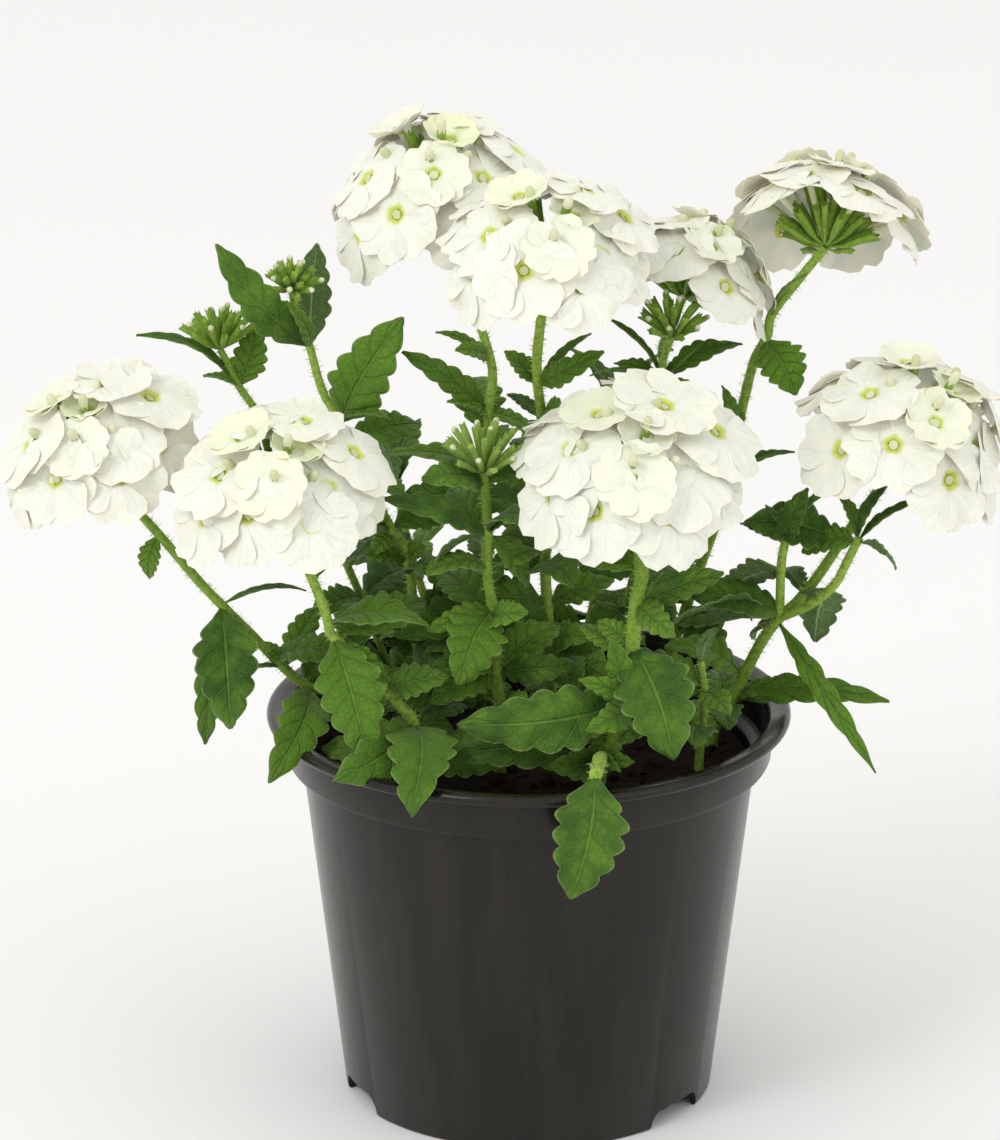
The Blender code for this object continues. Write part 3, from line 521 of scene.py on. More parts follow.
def leaf_finish():
    """Return the green of leaves, stems and calyces."""
    finish = Finish("verbena_green", 0.5)
    along, aside, under, age, kind, own = finish.marks()
    spot = finish.place()
    outward = abs(aside)
    patches = finish.grain(spot, 0.12, 3.0)
    fine = finish.grain(spot, 0.9, 2.0)
    deep = finish.blend(finish.ease(own, 0.0, 1.0), (0.025, 0.082, 0.004), (0.100, 0.228, 0.010))
    deep = finish.blend(finish.ease(patches, 0.35, 0.7), deep, (0.090, 0.190, 0.012))
    young = finish.blend(finish.ease(age, 0.0, 1.0), deep, (0.15, 0.29, 0.020))
    phase = along * float(TEETH) + (1.0 - outward) * VEIN_LEAN
    wave = finish.node("ShaderNodeMath", {"operation": "PINGPONG"}, {0: phase, 1: 0.5})
    side_vein = finish.ease(wave, 0.0, 0.085, 1.0, 0.0)
    midrib = finish.ease(outward, 0.02, 0.09, 1.0, 0.0)
    sockets = {"Vector": spot, "Scale": 0.62}
    cells = finish.node("ShaderNodeTexVoronoi", {"feature": "DISTANCE_TO_EDGE"}, sockets)
    net = finish.ease(cells, 0.0, 0.12, 1.0, 0.0)
    veins = finish.node("ShaderNodeMath", {"operation": "MAXIMUM"}, {0: midrib, 1: side_vein * 0.8})
    lines = finish.node("ShaderNodeMath", {"operation": "MAXIMUM"}, {0: veins, 1: net * 0.30})
    upper = finish.blend(lines * 0.5, young, (0.14, 0.25, 0.040))
    rim = finish.ease(outward, 0.90, 1.0)
    upper = finish.blend(rim * 0.5, upper, (0.26, 0.36, 0.12))
    lower = finish.blend(lines * 0.9, (0.085, 0.165, 0.040), (0.30, 0.40, 0.16))
    blade = finish.blend(under, upper, lower)
    stalk = finish.blend(finish.ease(own, 0.0, 1.0), (0.19, 0.33, 0.03), (0.33, 0.47, 0.07))
    stalk = finish.blend(finish.ease(fine, 0.35, 0.75), stalk, (0.14, 0.27, 0.025))
    stalk = finish.blend(finish.ease(age, 0.0, 1.0), stalk, (0.46, 0.60, 0.20))
    finish.drive("Base Color", finish.blend(kind, blade, stalk))
    finish.drive("Roughness", finish.ease(fine, 0.2, 0.8, 0.44, 0.66))
    finish.bump(fine * 0.25 - lines * 0.7, 1.0, 0.7)
    finish.shader.inputs["Sheen Weight"].default_value = 0.06
    finish.shader.inputs["Sheen Roughness"].default_value = 0.5
    finish.shader.inputs["Specular IOR Level"].default_value = 0.22
    return finish.material


GREEN = leaf_finish()
print("made", GREEN.name)

# %% [markdown]
# ## Petals
# A petal is white, with a faint warm grey painted along its streaks as shade. Towards the throat it
# turns yellow-green, with a darker green painted at the tube's mouth as shade, and a young flower is
# creamy all over. Lengthwise veins are drawn by noise that is stretched along it.

# %% Petal finish


def petal_finish():
    """Return the white of the petals, with a green throat."""
    finish = Finish("verbena_white", 0.55)
    along, aside, under, age, kind, own = finish.marks()
    streaks = finish.node("ShaderNodeCombineXYZ", {}, {0: along * 2.0, 1: aside * 7.0, 2: own * 9.0})
    streaks = finish.grain(streaks, 1.6, 2.0)
    # The darker warm grey laid along the streaks is painted shade.
    white_and_painted_shade = finish.blend(finish.ease(streaks, 0.35, 0.7), (0.88, 0.862, 0.755), (0.82, 0.80, 0.68))
    white_and_painted_shade = finish.blend(under * 0.6, white_and_painted_shade, (0.88, 0.875, 0.80))
    young = finish.blend(finish.ease(age, 0.0, 1.0), white_and_painted_shade, (0.84, 0.87, 0.54))
    throat = finish.ease(along, 0.06, 0.18, 1.0, 0.0)
    warmed = finish.blend(throat, young, (0.58, 0.66, 0.07))
    # The darker green at the very throat is painted shade of the tube's mouth.
    painted_mouth_shade = finish.ease(along, 0.0, 0.055, 1.0, 0.0)
    warmed = finish.blend(painted_mouth_shade, warmed, (0.26, 0.32, 0.03))
    tube = finish.blend(finish.ease(own, 0.0, 1.0), (0.55, 0.60, 0.32), (0.70, 0.72, 0.50))
    finish.drive("Base Color", finish.blend(kind, warmed, tube))
    finish.drive("Roughness", finish.ease(streaks, 0.2, 0.8, 0.48, 0.62))
    finish.bump(streaks, 0.25, 0.15)
    finish.shader.inputs["Sheen Weight"].default_value = 0.15
    finish.shader.inputs["Subsurface Weight"].default_value = 0.12
    finish.shader.inputs["Subsurface Scale"].default_value = 0.002
    return finish.material


WHITE = petal_finish()
print("made", WHITE.name)

# %% [markdown]
# ## Pot plastic and peat
# The pot is moulded in recycled black plastic. Faint upright streaks change its gloss, a lighter
# colour is painted along them as sheen, and fine dust lies near its foot. Peat is almost black where
# it is damp, with browner dry crumbs.

# %% Pot and peat finishes


def pot_finish():
    """Return the charcoal plastic of the pot."""
    finish = Finish("nursery_pot_black", 0.32)
    streaks = finish.grain(finish.place((0.16, 0.16, 0.004)), 1.0, 5.0, 0.6)
    speckle = finish.grain(finish.place(), 1.8, 2.0)
    height = finish.parts(finish.place())[2]
    # The lighter black along the upright streaks is painted sheen, standing in for soft reflections.
    painted_sheen = finish.ease(streaks, 0.35, 0.7)
    black = finish.blend(painted_sheen, (0.0090, 0.0074, 0.0050), (0.0165, 0.0136, 0.0092))
    dust = finish.ease(height, 0.0, 26.0, 0.5, 0.0) * finish.ease(speckle, 0.35, 0.75)
    finish.drive("Base Color", finish.blend(dust, black, (0.022, 0.020, 0.018)))
    finish.drive("Roughness", finish.ease(streaks, 0.3, 0.75, 0.24, 0.31) + dust * 0.2)
    finish.bump(speckle * 0.5 + streaks, 0.12, 0.3)
    finish.shader.inputs["Specular IOR Level"].default_value = 0.20
    finish.shader.inputs["Coat Weight"].default_value = 0.18
    finish.shader.inputs["Coat Roughness"].default_value = 0.1
    return finish.material


def peat_finish():
    """Return the dark brown of crumbly peat."""
    finish = Finish("damp_peat", 0.9)
    lumps = finish.grain(finish.place(), 0.35, 4.0, 0.65)
    crumbs = finish.grain(finish.place(), 1.7, 3.0, 0.6)
    brown = finish.blend(finish.ease(lumps, 0.3, 0.7), (0.005, 0.003, 0.002), (0.022, 0.012, 0.007))
    brown = finish.blend(finish.ease(crumbs, 0.55, 0.8), brown, (0.07, 0.042, 0.024))
    finish.drive("Base Color", brown)
    finish.drive("Roughness", finish.ease(crumbs, 0.3, 0.8, 0.82, 0.97))
    finish.bump(crumbs + lumps * 0.5, 0.8, 0.8)
    finish.shader.inputs["Specular IOR Level"].default_value = 0.15
    return finish.material


BLACK = pot_finish()
BROWN = peat_finish()
print("made", BLACK.name, "and", BROWN.name)

# %% [markdown]
# ## The pot
# A thrown or moulded pot is a section turned about its axis, so a few points joined by edges are
# spun all the way round. Only the bead of the lip is worked out, as an arc.

# %% Turned section
LIP_RADIUS = 65.0
COLLAR_RADIUS = 60.4
COLLAR_HEIGHT = 12.7
WALL_TOP_RADIUS = 56.2
BASE_RADIUS = 45.9
WALL = 1.3
INNER_TOP = WALL_TOP_RADIUS - WALL
INNER_BASE = BASE_RADIUS + 0.7 - WALL
LIP_BEAD = 1.45
FLOOR_RISE = 5.4
FLOOR_THICKNESS = 1.5
BOSS_RADIUS = 5.0
SPIN_STEPS = 144


def turned(profile, steps=SPIN_STEPS):
    """Spin a section that starts and ends on the axis, and close its poles."""
    body = bmesh.new()
    points = [body.verts.new((radius, 0.0, height)) for radius, height in profile]
    edges = [body.edges.new(pair) for pair in zip(points, points[1:])]
    bmesh.ops.spin(body, geom=points + edges, cent=(0.0, 0.0, 0.0), axis=(0.0, 0.0, 1.0),
                   angle=math.tau, steps=steps, use_merge=True)
    bmesh.ops.remove_doubles(body, verts=body.verts, dist=0.001)
    bmesh.ops.recalc_face_normals(body, faces=body.faces)
    return body


def pot_section():
    """Return the pot's section with a rounded lip, in millimetres."""
    top = POT_HEIGHT / MM
    step = top - COLLAR_HEIGHT
    floor = FLOOR_RISE + FLOOR_THICKNESS
    collar = COLLAR_RADIUS - WALL
    skirt = BASE_RADIUS - WALL
    section = [
        (0.0, floor), (INNER_BASE - 1.5, floor), (INNER_BASE, floor + 1.2), (INNER_TOP, step - 0.6),
        (INNER_TOP + 0.6, step + 0.5), (collar - 0.7, step + WALL), (collar - 0.1, step + WALL + 0.8),
        (collar, top - 3.0), (collar + 0.5, top - 1.4), (collar + 1.6, top - 0.5),
    ]
    for turn in range(100, -111, -15):
        angle = math.radians(turn)
        section.append((LIP_RADIUS - LIP_BEAD + LIP_BEAD * math.cos(angle),
                        top - LIP_BEAD + LIP_BEAD * math.sin(angle)))
    section += [
        (COLLAR_RADIUS + 0.7, top - 2.9), (COLLAR_RADIUS + 0.1, top - 3.4),
        (COLLAR_RADIUS, top - 4.4), (COLLAR_RADIUS - 0.2, step + 1.2), (COLLAR_RADIUS - 0.7, step + 0.2),
        (COLLAR_RADIUS - 1.6, step - 0.2), (WALL_TOP_RADIUS + 0.7, step - 0.5),
        (WALL_TOP_RADIUS, step - 1.2), (BASE_RADIUS + 0.1, 0.7), (BASE_RADIUS - 0.3, 0.1),
        (BASE_RADIUS - 0.6, 0.0), (skirt + 0.2, 0.0), (skirt, 0.3), (skirt + 0.3, FLOOR_RISE),
        (BOSS_RADIUS, FLOOR_RISE), (BOSS_RADIUS, 0.0), (0.0, 0.0),
    ]
    return section


print("points in the pot's section:", len(pot_section()))

# %% [markdown]
# ## Drain notches
# Water leaves through three notches in the skirt. A rounded block cuts each one, and a small foot is
# joined on behind it. Booleans do both, because the turned wall is already a closed solid.

# %% Cut the notches
NOTCH_TURNS = (-67.0, 53.5, 173.0)
NOTCH_WIDTH = 21.0
NOTCH_HEIGHT = 5.0
NOTCH_DEPTH = 14.0
NOTCH_ROUND = 3.2
FOOT_SIZE = (4.0, 1.3, 4.3)
POT_SHARP = 38.0


def cutter(turn):
    """Return the rounded wedge that cuts one drain notch."""
    block = bmesh.new()
    bmesh.ops.create_cube(block, size=1.0)
    bmesh.ops.scale(block, vec=(NOTCH_WIDTH, NOTCH_DEPTH, NOTCH_HEIGHT * 2.0), verts=block.verts)
    upper = [vert for vert in block.verts if vert.co.z > 0.0]
    bmesh.ops.scale(block, vec=(0.84, 1.0, 1.0), verts=upper)
    ridges = [edge for edge in block.edges if all(vert.co.z > 0.0 for vert in edge.verts)
              and abs(edge.verts[0].co.y - edge.verts[1].co.y) > 1.0]
    bmesh.ops.bevel(block, geom=ridges, offset=NOTCH_ROUND, segments=6, affect="EDGES", profile=0.5,
                    material=-1)
    place = Matrix.Rotation(math.radians(turn), 4, "Z") @ Matrix.Translation((0.0, -BASE_RADIUS, 0.0))
    bmesh.ops.transform(block, matrix=place, verts=block.verts)
    return block


def foot(turn):
    """Return the small rounded foot that shows behind a drain notch."""
    knob = bmesh.new()
    bmesh.ops.create_uvsphere(knob, u_segments=20, v_segments=12, radius=1.0)
    bmesh.ops.scale(knob, vec=FOOT_SIZE, verts=knob.verts)
    place = Matrix.Rotation(math.radians(turn), 4, "Z")
    place = place @ Matrix.Translation((0.0, -BASE_RADIUS + 3.6, FLOOR_RISE + 0.6))
    bmesh.ops.transform(knob, matrix=place, verts=knob.verts)
    return knob


def cut(target, blocks, operation):
    """Join or cut bmesh blocks into a piece with Booleans."""
    for block in blocks:
        bmesh.ops.scale(block, vec=(MM, MM, MM), verts=block.verts)
        mesh = bpy.data.meshes.new("block")
        block.to_mesh(mesh)
        block.free()
        tool = bpy.data.objects.new("block", mesh)
        bpy.context.scene.collection.objects.link(tool)
        step = target.modifiers.new("cut", "BOOLEAN")
        step.operation = operation
        step.object = tool
        graph = bpy.context.evaluated_depsgraph_get()
        result = bpy.data.meshes.new_from_object(target.evaluated_get(graph))
        target.modifiers.clear()
        target.data = result
        bpy.data.objects.remove(tool)


pot = make_piece("nursery_pot", turned(pot_section()), BLACK, ("pot",))
cut(pot, [cutter(turn) for turn in NOTCH_TURNS], "DIFFERENCE")
cut(pot, [foot(turn) for turn in NOTCH_TURNS], "UNION")
pot.data.shade_smooth()
pot.data.set_sharp_from_angle(angle=math.radians(POT_SHARP))
print("pot faces:", len(pot.data.polygons))

# %% [markdown]
# ## The peat
# The peat is another turned section. Its top has many rings, so that noise can raise lumps, and
# hundreds of crumbs, of a few faces each, lie half sunk in it.

# %% Peat
SOIL_TOP = 88.0
PEAT_GAP = 0.7
PEAT_RINGS = 34
PEAT_STEPS = 120
RIM_FALL = 2.0
CRUMBS = 620
CRUMB_SIZES = (0.6, 0.8, 1.0, 1.3, 1.8)
SHARP = 50.0


def peat():
    """Make the peat with its crumbs."""
    edge = INNER_TOP - PEAT_GAP
    low = FLOOR_RISE + FLOOR_THICKNESS + 0.4
    rings = [(edge * index / PEAT_RINGS, SOIL_TOP) for index in range(PEAT_RINGS + 1)]
    body = turned(rings + [(INNER_BASE - PEAT_GAP, low), (0.0, low)], PEAT_STEPS)
    for vert in body.verts:
        if vert.co.z > SOIL_TOP - 1.0:
            near = Vector((vert.co.x, vert.co.y, 0.0))
            lump = noise.noise(near * 0.09) * 1.0 + noise.noise(near * 0.35) * 0.8
            fall = RIM_FALL * (near.length / edge) ** 6
            vert.co.z += lump - fall - 0.4
    draw = random.Random(3)
    for _ in range(CRUMBS):
        turn = draw.uniform(0.0, math.tau)
        reach = edge * math.sqrt(draw.random()) * 0.97
        made = bmesh.ops.create_icosphere(body, subdivisions=1, radius=draw.choice(CRUMB_SIZES))
        for vert in made["verts"]:
            vert.co *= draw.uniform(0.7, 1.15)
            vert.co.z *= 0.7
        height = SOIL_TOP - 0.5 - RIM_FALL * (reach / edge) ** 6
        place = Matrix.Translation((reach * math.cos(turn), reach * math.sin(turn), height))
        bmesh.ops.transform(body, matrix=place @ Matrix.Rotation(turn, 4, "X"), verts=made["verts"])
    make_piece("peat", body, BROWN, ("soil",), SHARP)


peat()

# %% [markdown]
# ## Blades
# Leaves and petals are thin blades: a grid that a formula bends into place and that solidify then
# gives a thickness, so that it is closed. Its points store the marks that the finishes read.

# %% Blade helper


def growing_body():
    """Return an empty bmesh whose points can hold the marks of the finishes."""
    body = bmesh.new()
    body.verts.layers.float_vector.new("grain")
    body.verts.layers.float_vector.new("tint")
    return body


def blade(body, along, sideways, thickness, shape, tint, upper):
    """Grow a closed blade, whose shape gives a point for a share along and a place across."""
    grain = body.verts.layers.float_vector["grain"]
    shade = body.verts.layers.float_vector["tint"]
    made = bmesh.ops.create_grid(body, x_segments=along, y_segments=sideways, size=1.0)
    for vert in made["verts"]:
        share = (vert.co.x + 1.0) / 2.0
        aside = vert.co.y
        vert.co = shape(share, aside)
        vert[grain] = (share, aside, 0.0)
        vert[shade] = tint
    faces = list({face for vert in made["verts"] for face in vert.link_faces})
    lean = Vector()
    for face in faces:
        face.normal_update()
        lean += face.normal * face.calc_area()
    if lean.dot(upper) < 0.0:
        bmesh.ops.reverse_faces(body, faces=faces)
    shell = bmesh.ops.solidify(body, geom=faces, thickness=thickness)
    under = [part for part in shell["geom"] if isinstance(part, bmesh.types.BMVert)]
    for vert in under:
        vert[grain] = (vert[grain][0], vert[grain][1], 1.0)


print("blade ready")

# %% [markdown]
# ## Shafts
# Stems, calyces and flower tubes are shafts: a ring is drawn out along a path, one extrusion a
# point, and both ends are capped. A calyx ends in a crown of small teeth.

# %% Shaft helper


def ring_frame(point, side, ahead, radius):
    """Return the matrix that places a unit ring square on a path."""
    axes = Matrix((side, ahead.cross(side), ahead)).transposed().to_4x4()
    return Matrix.Translation(point) @ axes @ Matrix.Scale(radius, 4)


def shaft(body, path, radii, sides, tint, crown=0.0):
    """Draw a ring out along a path and cap both ends. A crown leaves teeth at the far end."""
    path = [Vector(point) for point in path]
    shade = body.verts.layers.float_vector["tint"]
    last = len(path) - 1
    side = Vector((1.0, 0.13, 0.0))
    for index, point in enumerate(path):
        ahead = (path[min(index + 1, last)] - path[max(index - 1, 0)]).normalized()
        side = across(ahead, side)
        place = ring_frame(point, side, ahead, radii[index])
        if index == 0:
            ring = bmesh.ops.create_circle(body, segments=sides, radius=1.0, matrix=place)["verts"]
            rim = list({edge for vert in ring for edge in vert.link_edges})
            start = rim
            made = list(ring)
        else:
            grown = bmesh.ops.extrude_edge_only(body, edges=rim)["geom"]
            ring = [part for part in grown if isinstance(part, bmesh.types.BMVert)]
            here = set(ring)
            rim = [part for part in grown if isinstance(part, bmesh.types.BMEdge)
                   and part.verts[0] in here and part.verts[1] in here]
            bmesh.ops.transform(body, matrix=place @ before.inverted(), verts=ring)
            made += ring
        before = place
    if crown:
        level = before.inverted()
        for vert in ring:
            spot = level @ vert.co
            step = round(math.atan2(spot.y, spot.x) * sides / math.tau)
            if step % 2 == 0:
                vert.co += ahead * crown + (vert.co - point) * 0.25
    for vert in made:
        vert[shade] = tint
    bmesh.ops.edgeloop_fill(body, edges=start)
    bmesh.ops.edgeloop_fill(body, edges=rim)


def finished(name, body, material, nodes, sharp=None):
    """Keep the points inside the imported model's box, turn all faces outwards and make the piece."""
    low, high = CAD_BOX
    for vert in body.verts:
        for axis in range(3):
            vert.co[axis] = min(max(vert.co[axis], low[axis] / MM), high[axis] / MM)
    bmesh.ops.recalc_face_normals(body, faces=body.faces)
    make_piece(name, body, material, nodes, sharp)


print("shaft ready")

# %% [markdown]
# ## Leaves
# A verbena leaf is a pointed oval with a few coarse rounded teeth a side. It arches along its
# midrib, folds up a little to both sides, and puckers between its veins. Each leaf hangs where the
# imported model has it: its plain place is swung by small turns until its tip and teeth lie on the
# packed shoot. A leaf with no such place is left out.

# %% Leaf placement
LEAF_ARCH = 0.13
LEAF_FOLD = 0.22
LEAF_ROOT_DEPTH = 1.0
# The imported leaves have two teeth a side, and one more past each of these lengths.
TOOTH_LENGTHS = (12.0, 22.0, 34.0)
FIT_LIMIT = 1.1
FIT_SIZES = (1.0, 0.8, 0.62)
FIT_LIFTS = range(-42, 43, 7)
FIT_SWINGS = range(-32, 33, 8)


def leaf_axes(base, tip, facing):
    """Return the leaf's direction, length, upper way and side way."""
    along = tip - base
    length = along.length
    along = along.normalized()
    upper = across(along, Vector((0.0, -facing, 1.0 - abs(facing))))
    return along, length, upper, along.cross(upper)


def arch(length, share):
    """Return how high a leaf's midrib stands above a straight line at a share of its length."""
    return LEAF_ARCH * length * 4.0 * share * (1.0 - share)


def outline(share):
    """Return how wide a packed leaf is at a share of its length, as a share of its half width."""
    return math.sin(math.pi * share ** 0.8) ** 0.9


def probes(base, tip, width, facing):
    """Return a few points of the plain leaf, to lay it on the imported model."""
    along, length, upper, side = leaf_axes(base, tip, facing)
    teeth = 2 + sum(length > limit for limit in TOOTH_LENGTHS)
    spots = [tip]
    for tooth in (0.62, 1.62):
        share = tooth / teeth
        out = outline(share) * width / 2.0
        rise = arch(length, share) + LEAF_FOLD * out
        for hand in (-1.0, 1.0):
            spots.append(base + along * (length * share) + side * (hand * out) + upper * rise)
    return spots


def fitted_leaf(tree, base, tip, width, facing):
    """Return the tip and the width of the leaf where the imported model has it, or None."""
    along, length, upper, side = leaf_axes(base, tip, facing)
    best = (FIT_LIMIT, None)
    for size in FIT_SIZES:
        for lift in FIT_LIFTS:
            for sideways in FIT_SWINGS:
                turned_way = Matrix.Rotation(math.radians(lift), 3, side) @ along
                turned_way = Matrix.Rotation(math.radians(sideways), 3, upper) @ turned_way
                end = base + turned_way * (length * size)
                gap = 0.0
                for spot in probes(base, end, width * size, facing):
                    gap = max(gap, (tree.find_nearest(spot * MM)[0] / MM - spot).length)
                    if gap >= best[0]:
                        break
                if gap < best[0]:
                    best = (gap, (end, width * size))
    return best[1]


def stem_points(shoot):
    """Return the stem's points, starting from a foot sunk in the peat."""
    column = shoot["stem"][0]
    return [(*column, SOIL_TOP - 7.5), (*column, SOIL_TOP + 2.5)] + shoot["stem"][1:]


def leaf_root(shoot, place):
    """Return the point on the stem or on a branch where a leaf grows."""
    path = stem_points(shoot)[1:]
    index = place
    if isinstance(place, tuple):
        branch, index = place
        path = shoot["branches"][branch]
    root = Vector(path[index])
    back = Vector(path[index - 1]) - root
    return root + back.normalized() * LEAF_ROOT_DEPTH


print("leaves listed:", sum(len(shoot["leaves"]) for shoot in SHOOTS.values()))

# %% [markdown]
# ## One leaf
# The teeth only pull the outer part of the blade in, and the pucker fades out at the rim. Each tooth
# ends close to a side vein, so both are worked out from the same count.

# %% Leaf shape
LEAF_STEPS = 36
LEAF_ROWS = 8
LEAF_SHEET = 0.4
BROADEST = 0.40
PUCKER = 0.050


def notch(phase):
    """Return how far the rim steps in at a place between two notches, with round teeth."""
    return 0.25 * (1.0 - abs(math.sin(math.pi * phase ** 1.15)) ** 0.75)


def blade_width(share):
    """Return a leaf's width along it: a narrow foot, a broad middle and a blunt point."""
    rise = math.sin(math.pi / 2.0 * min(1.0, share / BROADEST)) ** 1.2
    fall = 1.0 - (max(0.0, share - BROADEST) / (1.0 - BROADEST)) ** 1.8
    return rise * max(fall, 0.0) ** 0.72


def grow_leaf(body, base, tip, width, facing, draw):
    """Grow one toothed, veined leaf."""
    along, length, upper, side = leaf_axes(base, tip, facing)
    half = width / 2.0
    lean = draw.uniform(-0.06, 0.06)
    twist = draw.uniform(-0.25, 0.25)
    droop = draw.uniform(0.05, 0.16)
    ripple = draw.uniform(0.03, 0.07) * width
    start = draw.uniform(0.0, math.tau)

    def shape(share, aside):
        pull = notch((share * TEETH + 0.35) % 1.0) * min(1.0, 4.0 * share) * aside * aside
        out = max(half * 1.04 * blade_width(share) * (1.0 - pull), 0.30) * aside
        phase = share * TEETH + (1.0 - abs(aside)) * VEIN_LEAN
        plump = abs(math.sin(math.pi * phase)) * (1.0 - aside ** 4) * min(1.0, 6.0 * abs(aside))
        lift = arch(length, share) + LEAF_FOLD * abs(out) + PUCKER * width * plump * blade_width(share)
        lift -= droop * half * aside ** 4
        lift += ripple * math.sin(start + 9.0 * share + 2.0 * aside) * aside * aside
        lift += twist * share * out
        bend = lean * length * math.sin(math.pi * share)
        return base + along * (length * share) + side * (out + bend) + upper * lift

    age = max(0.0, min(1.0, 1.15 - length / 20.0)) * draw.uniform(0.6, 1.0)
    blade(body, LEAF_STEPS, LEAF_ROWS, LEAF_SHEET, shape, (age, LEAF_KIND, draw.random()), upper)


print("leaf shape ready")

# %% [markdown]
# ## Stems, calyces and hairs
# A stem is lime green and downy. Its slightly square section hardly shows under the down, so a round
# shaft does. The path between the listed points is smoothed, and the down is thin three-sided spikes.

# %% Stem helpers
HAIRS_PER_MM = 5.0
HAIR_RADIUS = 0.11
STEM_SIDES = 10
BRANCH_TAPER = 0.9


def smoothed(path, pieces=4):
    """Return a smooth path through the points."""
    points = [Vector(point) for point in path]
    last = len(points) - 1
    result = []
    for index in range(last):
        before, here = points[max(index - 1, 0)], points[index]
        there, after = points[index + 1], points[min(index + 2, last)]
        for step in range(pieces):
            share = step / pieces
            pull = (there - before) * share
            pull += (before * 2.0 - here * 5.0 + there * 4.0 - after) * share ** 2
            pull += (here * 3.0 - before - there * 3.0 + after) * share ** 3
            result.append(here + pull * 0.5)
    return result + [points[last]]


def hair(body, foot_point, way, length):
    """Stand one thin spike on a point."""
    shade = body.verts.layers.float_vector["tint"]
    middle = foot_point + way * (length * 0.42)
    place = ring_frame(middle, across(way, Vector((0.3, 0.2, 1.0))), way, 1.0)
    made = bmesh.ops.create_cone(body, segments=3, radius1=HAIR_RADIUS, radius2=0.0, depth=length,
                                 cap_ends=True, matrix=place)
    for vert in made["verts"]:
        vert[shade] = (1.0, STEM_KIND, 1.0)


def down(body, path, radii, draw):
    """Cover a stem with hairs."""
    for low, high, radius in zip(path, path[1:], radii):
        ahead = (high - low).normalized()
        side = across(ahead, Vector((1.0, 0.13, 0.0)))
        other = ahead.cross(side)
        for _ in range(int((high - low).length * HAIRS_PER_MM + draw.random())):
            turn = draw.uniform(0.0, math.tau)
            way = side * math.cos(turn) + other * math.sin(turn)
            spot = low.lerp(high, draw.random()) + way * radius
            leaning = (way + ahead * draw.uniform(-0.3, 0.5)).normalized()
            hair(body, spot, leaning, draw.uniform(0.9, 1.7))


def grow_stem(body, path, thick, thin, draw):
    """Grow a smooth, slightly knotty stem with its down."""
    smooth = smoothed(path)
    last = len(smooth) - 1
    radii = []
    for index in range(last + 1):
        knot = 0.05 if index % 4 == 0 else 0.0
        radii.append((thick + (thin - thick) * index / last) * (0.98 + knot))
    shaft(body, smooth, radii, STEM_SIDES, (0.0, STEM_KIND, draw.uniform(0.2, 0.9)))
    down(body, smooth[5:], radii[5:], draw)


def grow_calyx(body, start, way, length, draw, stout, age=0.0):
    """Grow a short pedicel and its toothed calyx, and return the calyx's mouth."""
    end = start + way * length
    sag = Vector((0.0, 0.0, -0.05 * length))
    path = [start, start + way * (0.25 * length) + sag, start + way * (0.42 * length) + sag,
            start + way * (0.7 * length), end]
    radii = [radius * stout for radius in (0.45, 0.5, 0.95, 1.15, 1.05)]
    shaft(body, path, radii, STEM_SIDES, (age, STEM_KIND, draw.uniform(0.1, 0.8)), 1.3 * stout)
    return end


print("stem helpers ready")

# %% [markdown]
# ## Directions of a head
# Flowers stand on a dome. Turning each one by the golden angle from the last spreads them evenly.

# %% Dome
GOLDEN_ANGLE = 137.508


def cap_direction(index, count, cap_angle, axis):
    """Return the direction of one of a number of even places on a round cap about the axis."""
    lowest = math.cos(math.radians(cap_angle))
    height = 1.0 - (index + 0.5) / count * (1.0 - lowest)
    turn = math.radians(GOLDEN_ANGLE) * index
    flat = math.sqrt(max(0.0, 1.0 - height * height))
    axis = Vector(axis).normalized()
    side = across(axis, Vector((1.0, 0.0, 0.0)))
    other = axis.cross(side)
    return axis * height + side * (flat * math.cos(turn)) + other * (flat * math.sin(turn))


print("first way:", [round(part, 2) for part in cap_direction(0, 28, 94.0, (0.0, 0.0, 1.0))])

# %% [markdown]
# ## Flowers
# A verbena flower is a thin tube with five broad lobes, each notched in the middle of its edge. The
# lobes lap over their neighbours like the blades of a fan. Each is its own small blade, waved a
# little differently from the rest.

# %% One flower
LOBES = 5
PETAL_KIND = 0.0
TUBE_KIND = 1.0
TUBE_SIDES = 8
CLAW = 0.55
PETAL_STEPS = 6
PETAL_ROWS = 6
PETAL_SHEET = 0.16


def grow_petal(body, stance, radius, cup, draw, age):
    """Grow one notched lobe from the flower's throat, reaching along the +X of its stance."""
    wave = draw.uniform(0.03, 0.08)
    start = draw.uniform(0.0, math.tau)
    length = radius * draw.uniform(0.93, 1.04)
    broad = radius * draw.uniform(0.57, 0.65)
    dent = draw.uniform(0.08, 0.17)
    lap = draw.uniform(0.02, 0.06)

    def shape(share, aside):
        edge = 1.0 - dent * math.exp(-(aside / 0.22) ** 2) - 0.36 * abs(aside) ** 2.8
        reach = 1.0 + (length * edge - 1.0) * share
        widen = math.sin(math.pi / 2.0 * min(1.0, share / 0.74)) ** 1.35
        out = (CLAW + (broad - CLAW) * widen) * aside
        lift = -1.3 * math.exp(-12.0 * share) + cup * radius * share ** 2
        lift += lap * radius * aside * share ** 1.5
        lift += wave * radius * math.sin(start + 3.6 * aside + 2.0 * share) * share ** 2
        lift -= 0.04 * radius * math.exp(-(aside / 0.3) ** 2) * share
        return stance @ Vector((reach, out, lift))

    tint = (age, PETAL_KIND, draw.random())
    blade(body, PETAL_STEPS, PETAL_ROWS, PETAL_SHEET, shape, tint, stance.col[2].to_3d())


def grow_flower(body, root, mouth, way, turn, radius, cup, draw, age):
    """Grow a flower's tube and its five lobes."""
    tube = [root, root.lerp(mouth, 0.6), mouth - way * 0.9]
    shaft(body, tube, [0.75, 0.9, 1.2], TUBE_SIDES, (age, TUBE_KIND, draw.random()))
    for lobe in range(LOBES):
        stance = stand(mouth, way, turn + math.tau * (lobe + draw.uniform(-0.06, 0.06)) / LOBES)
        grow_petal(body, stance, radius, cup, draw, age)


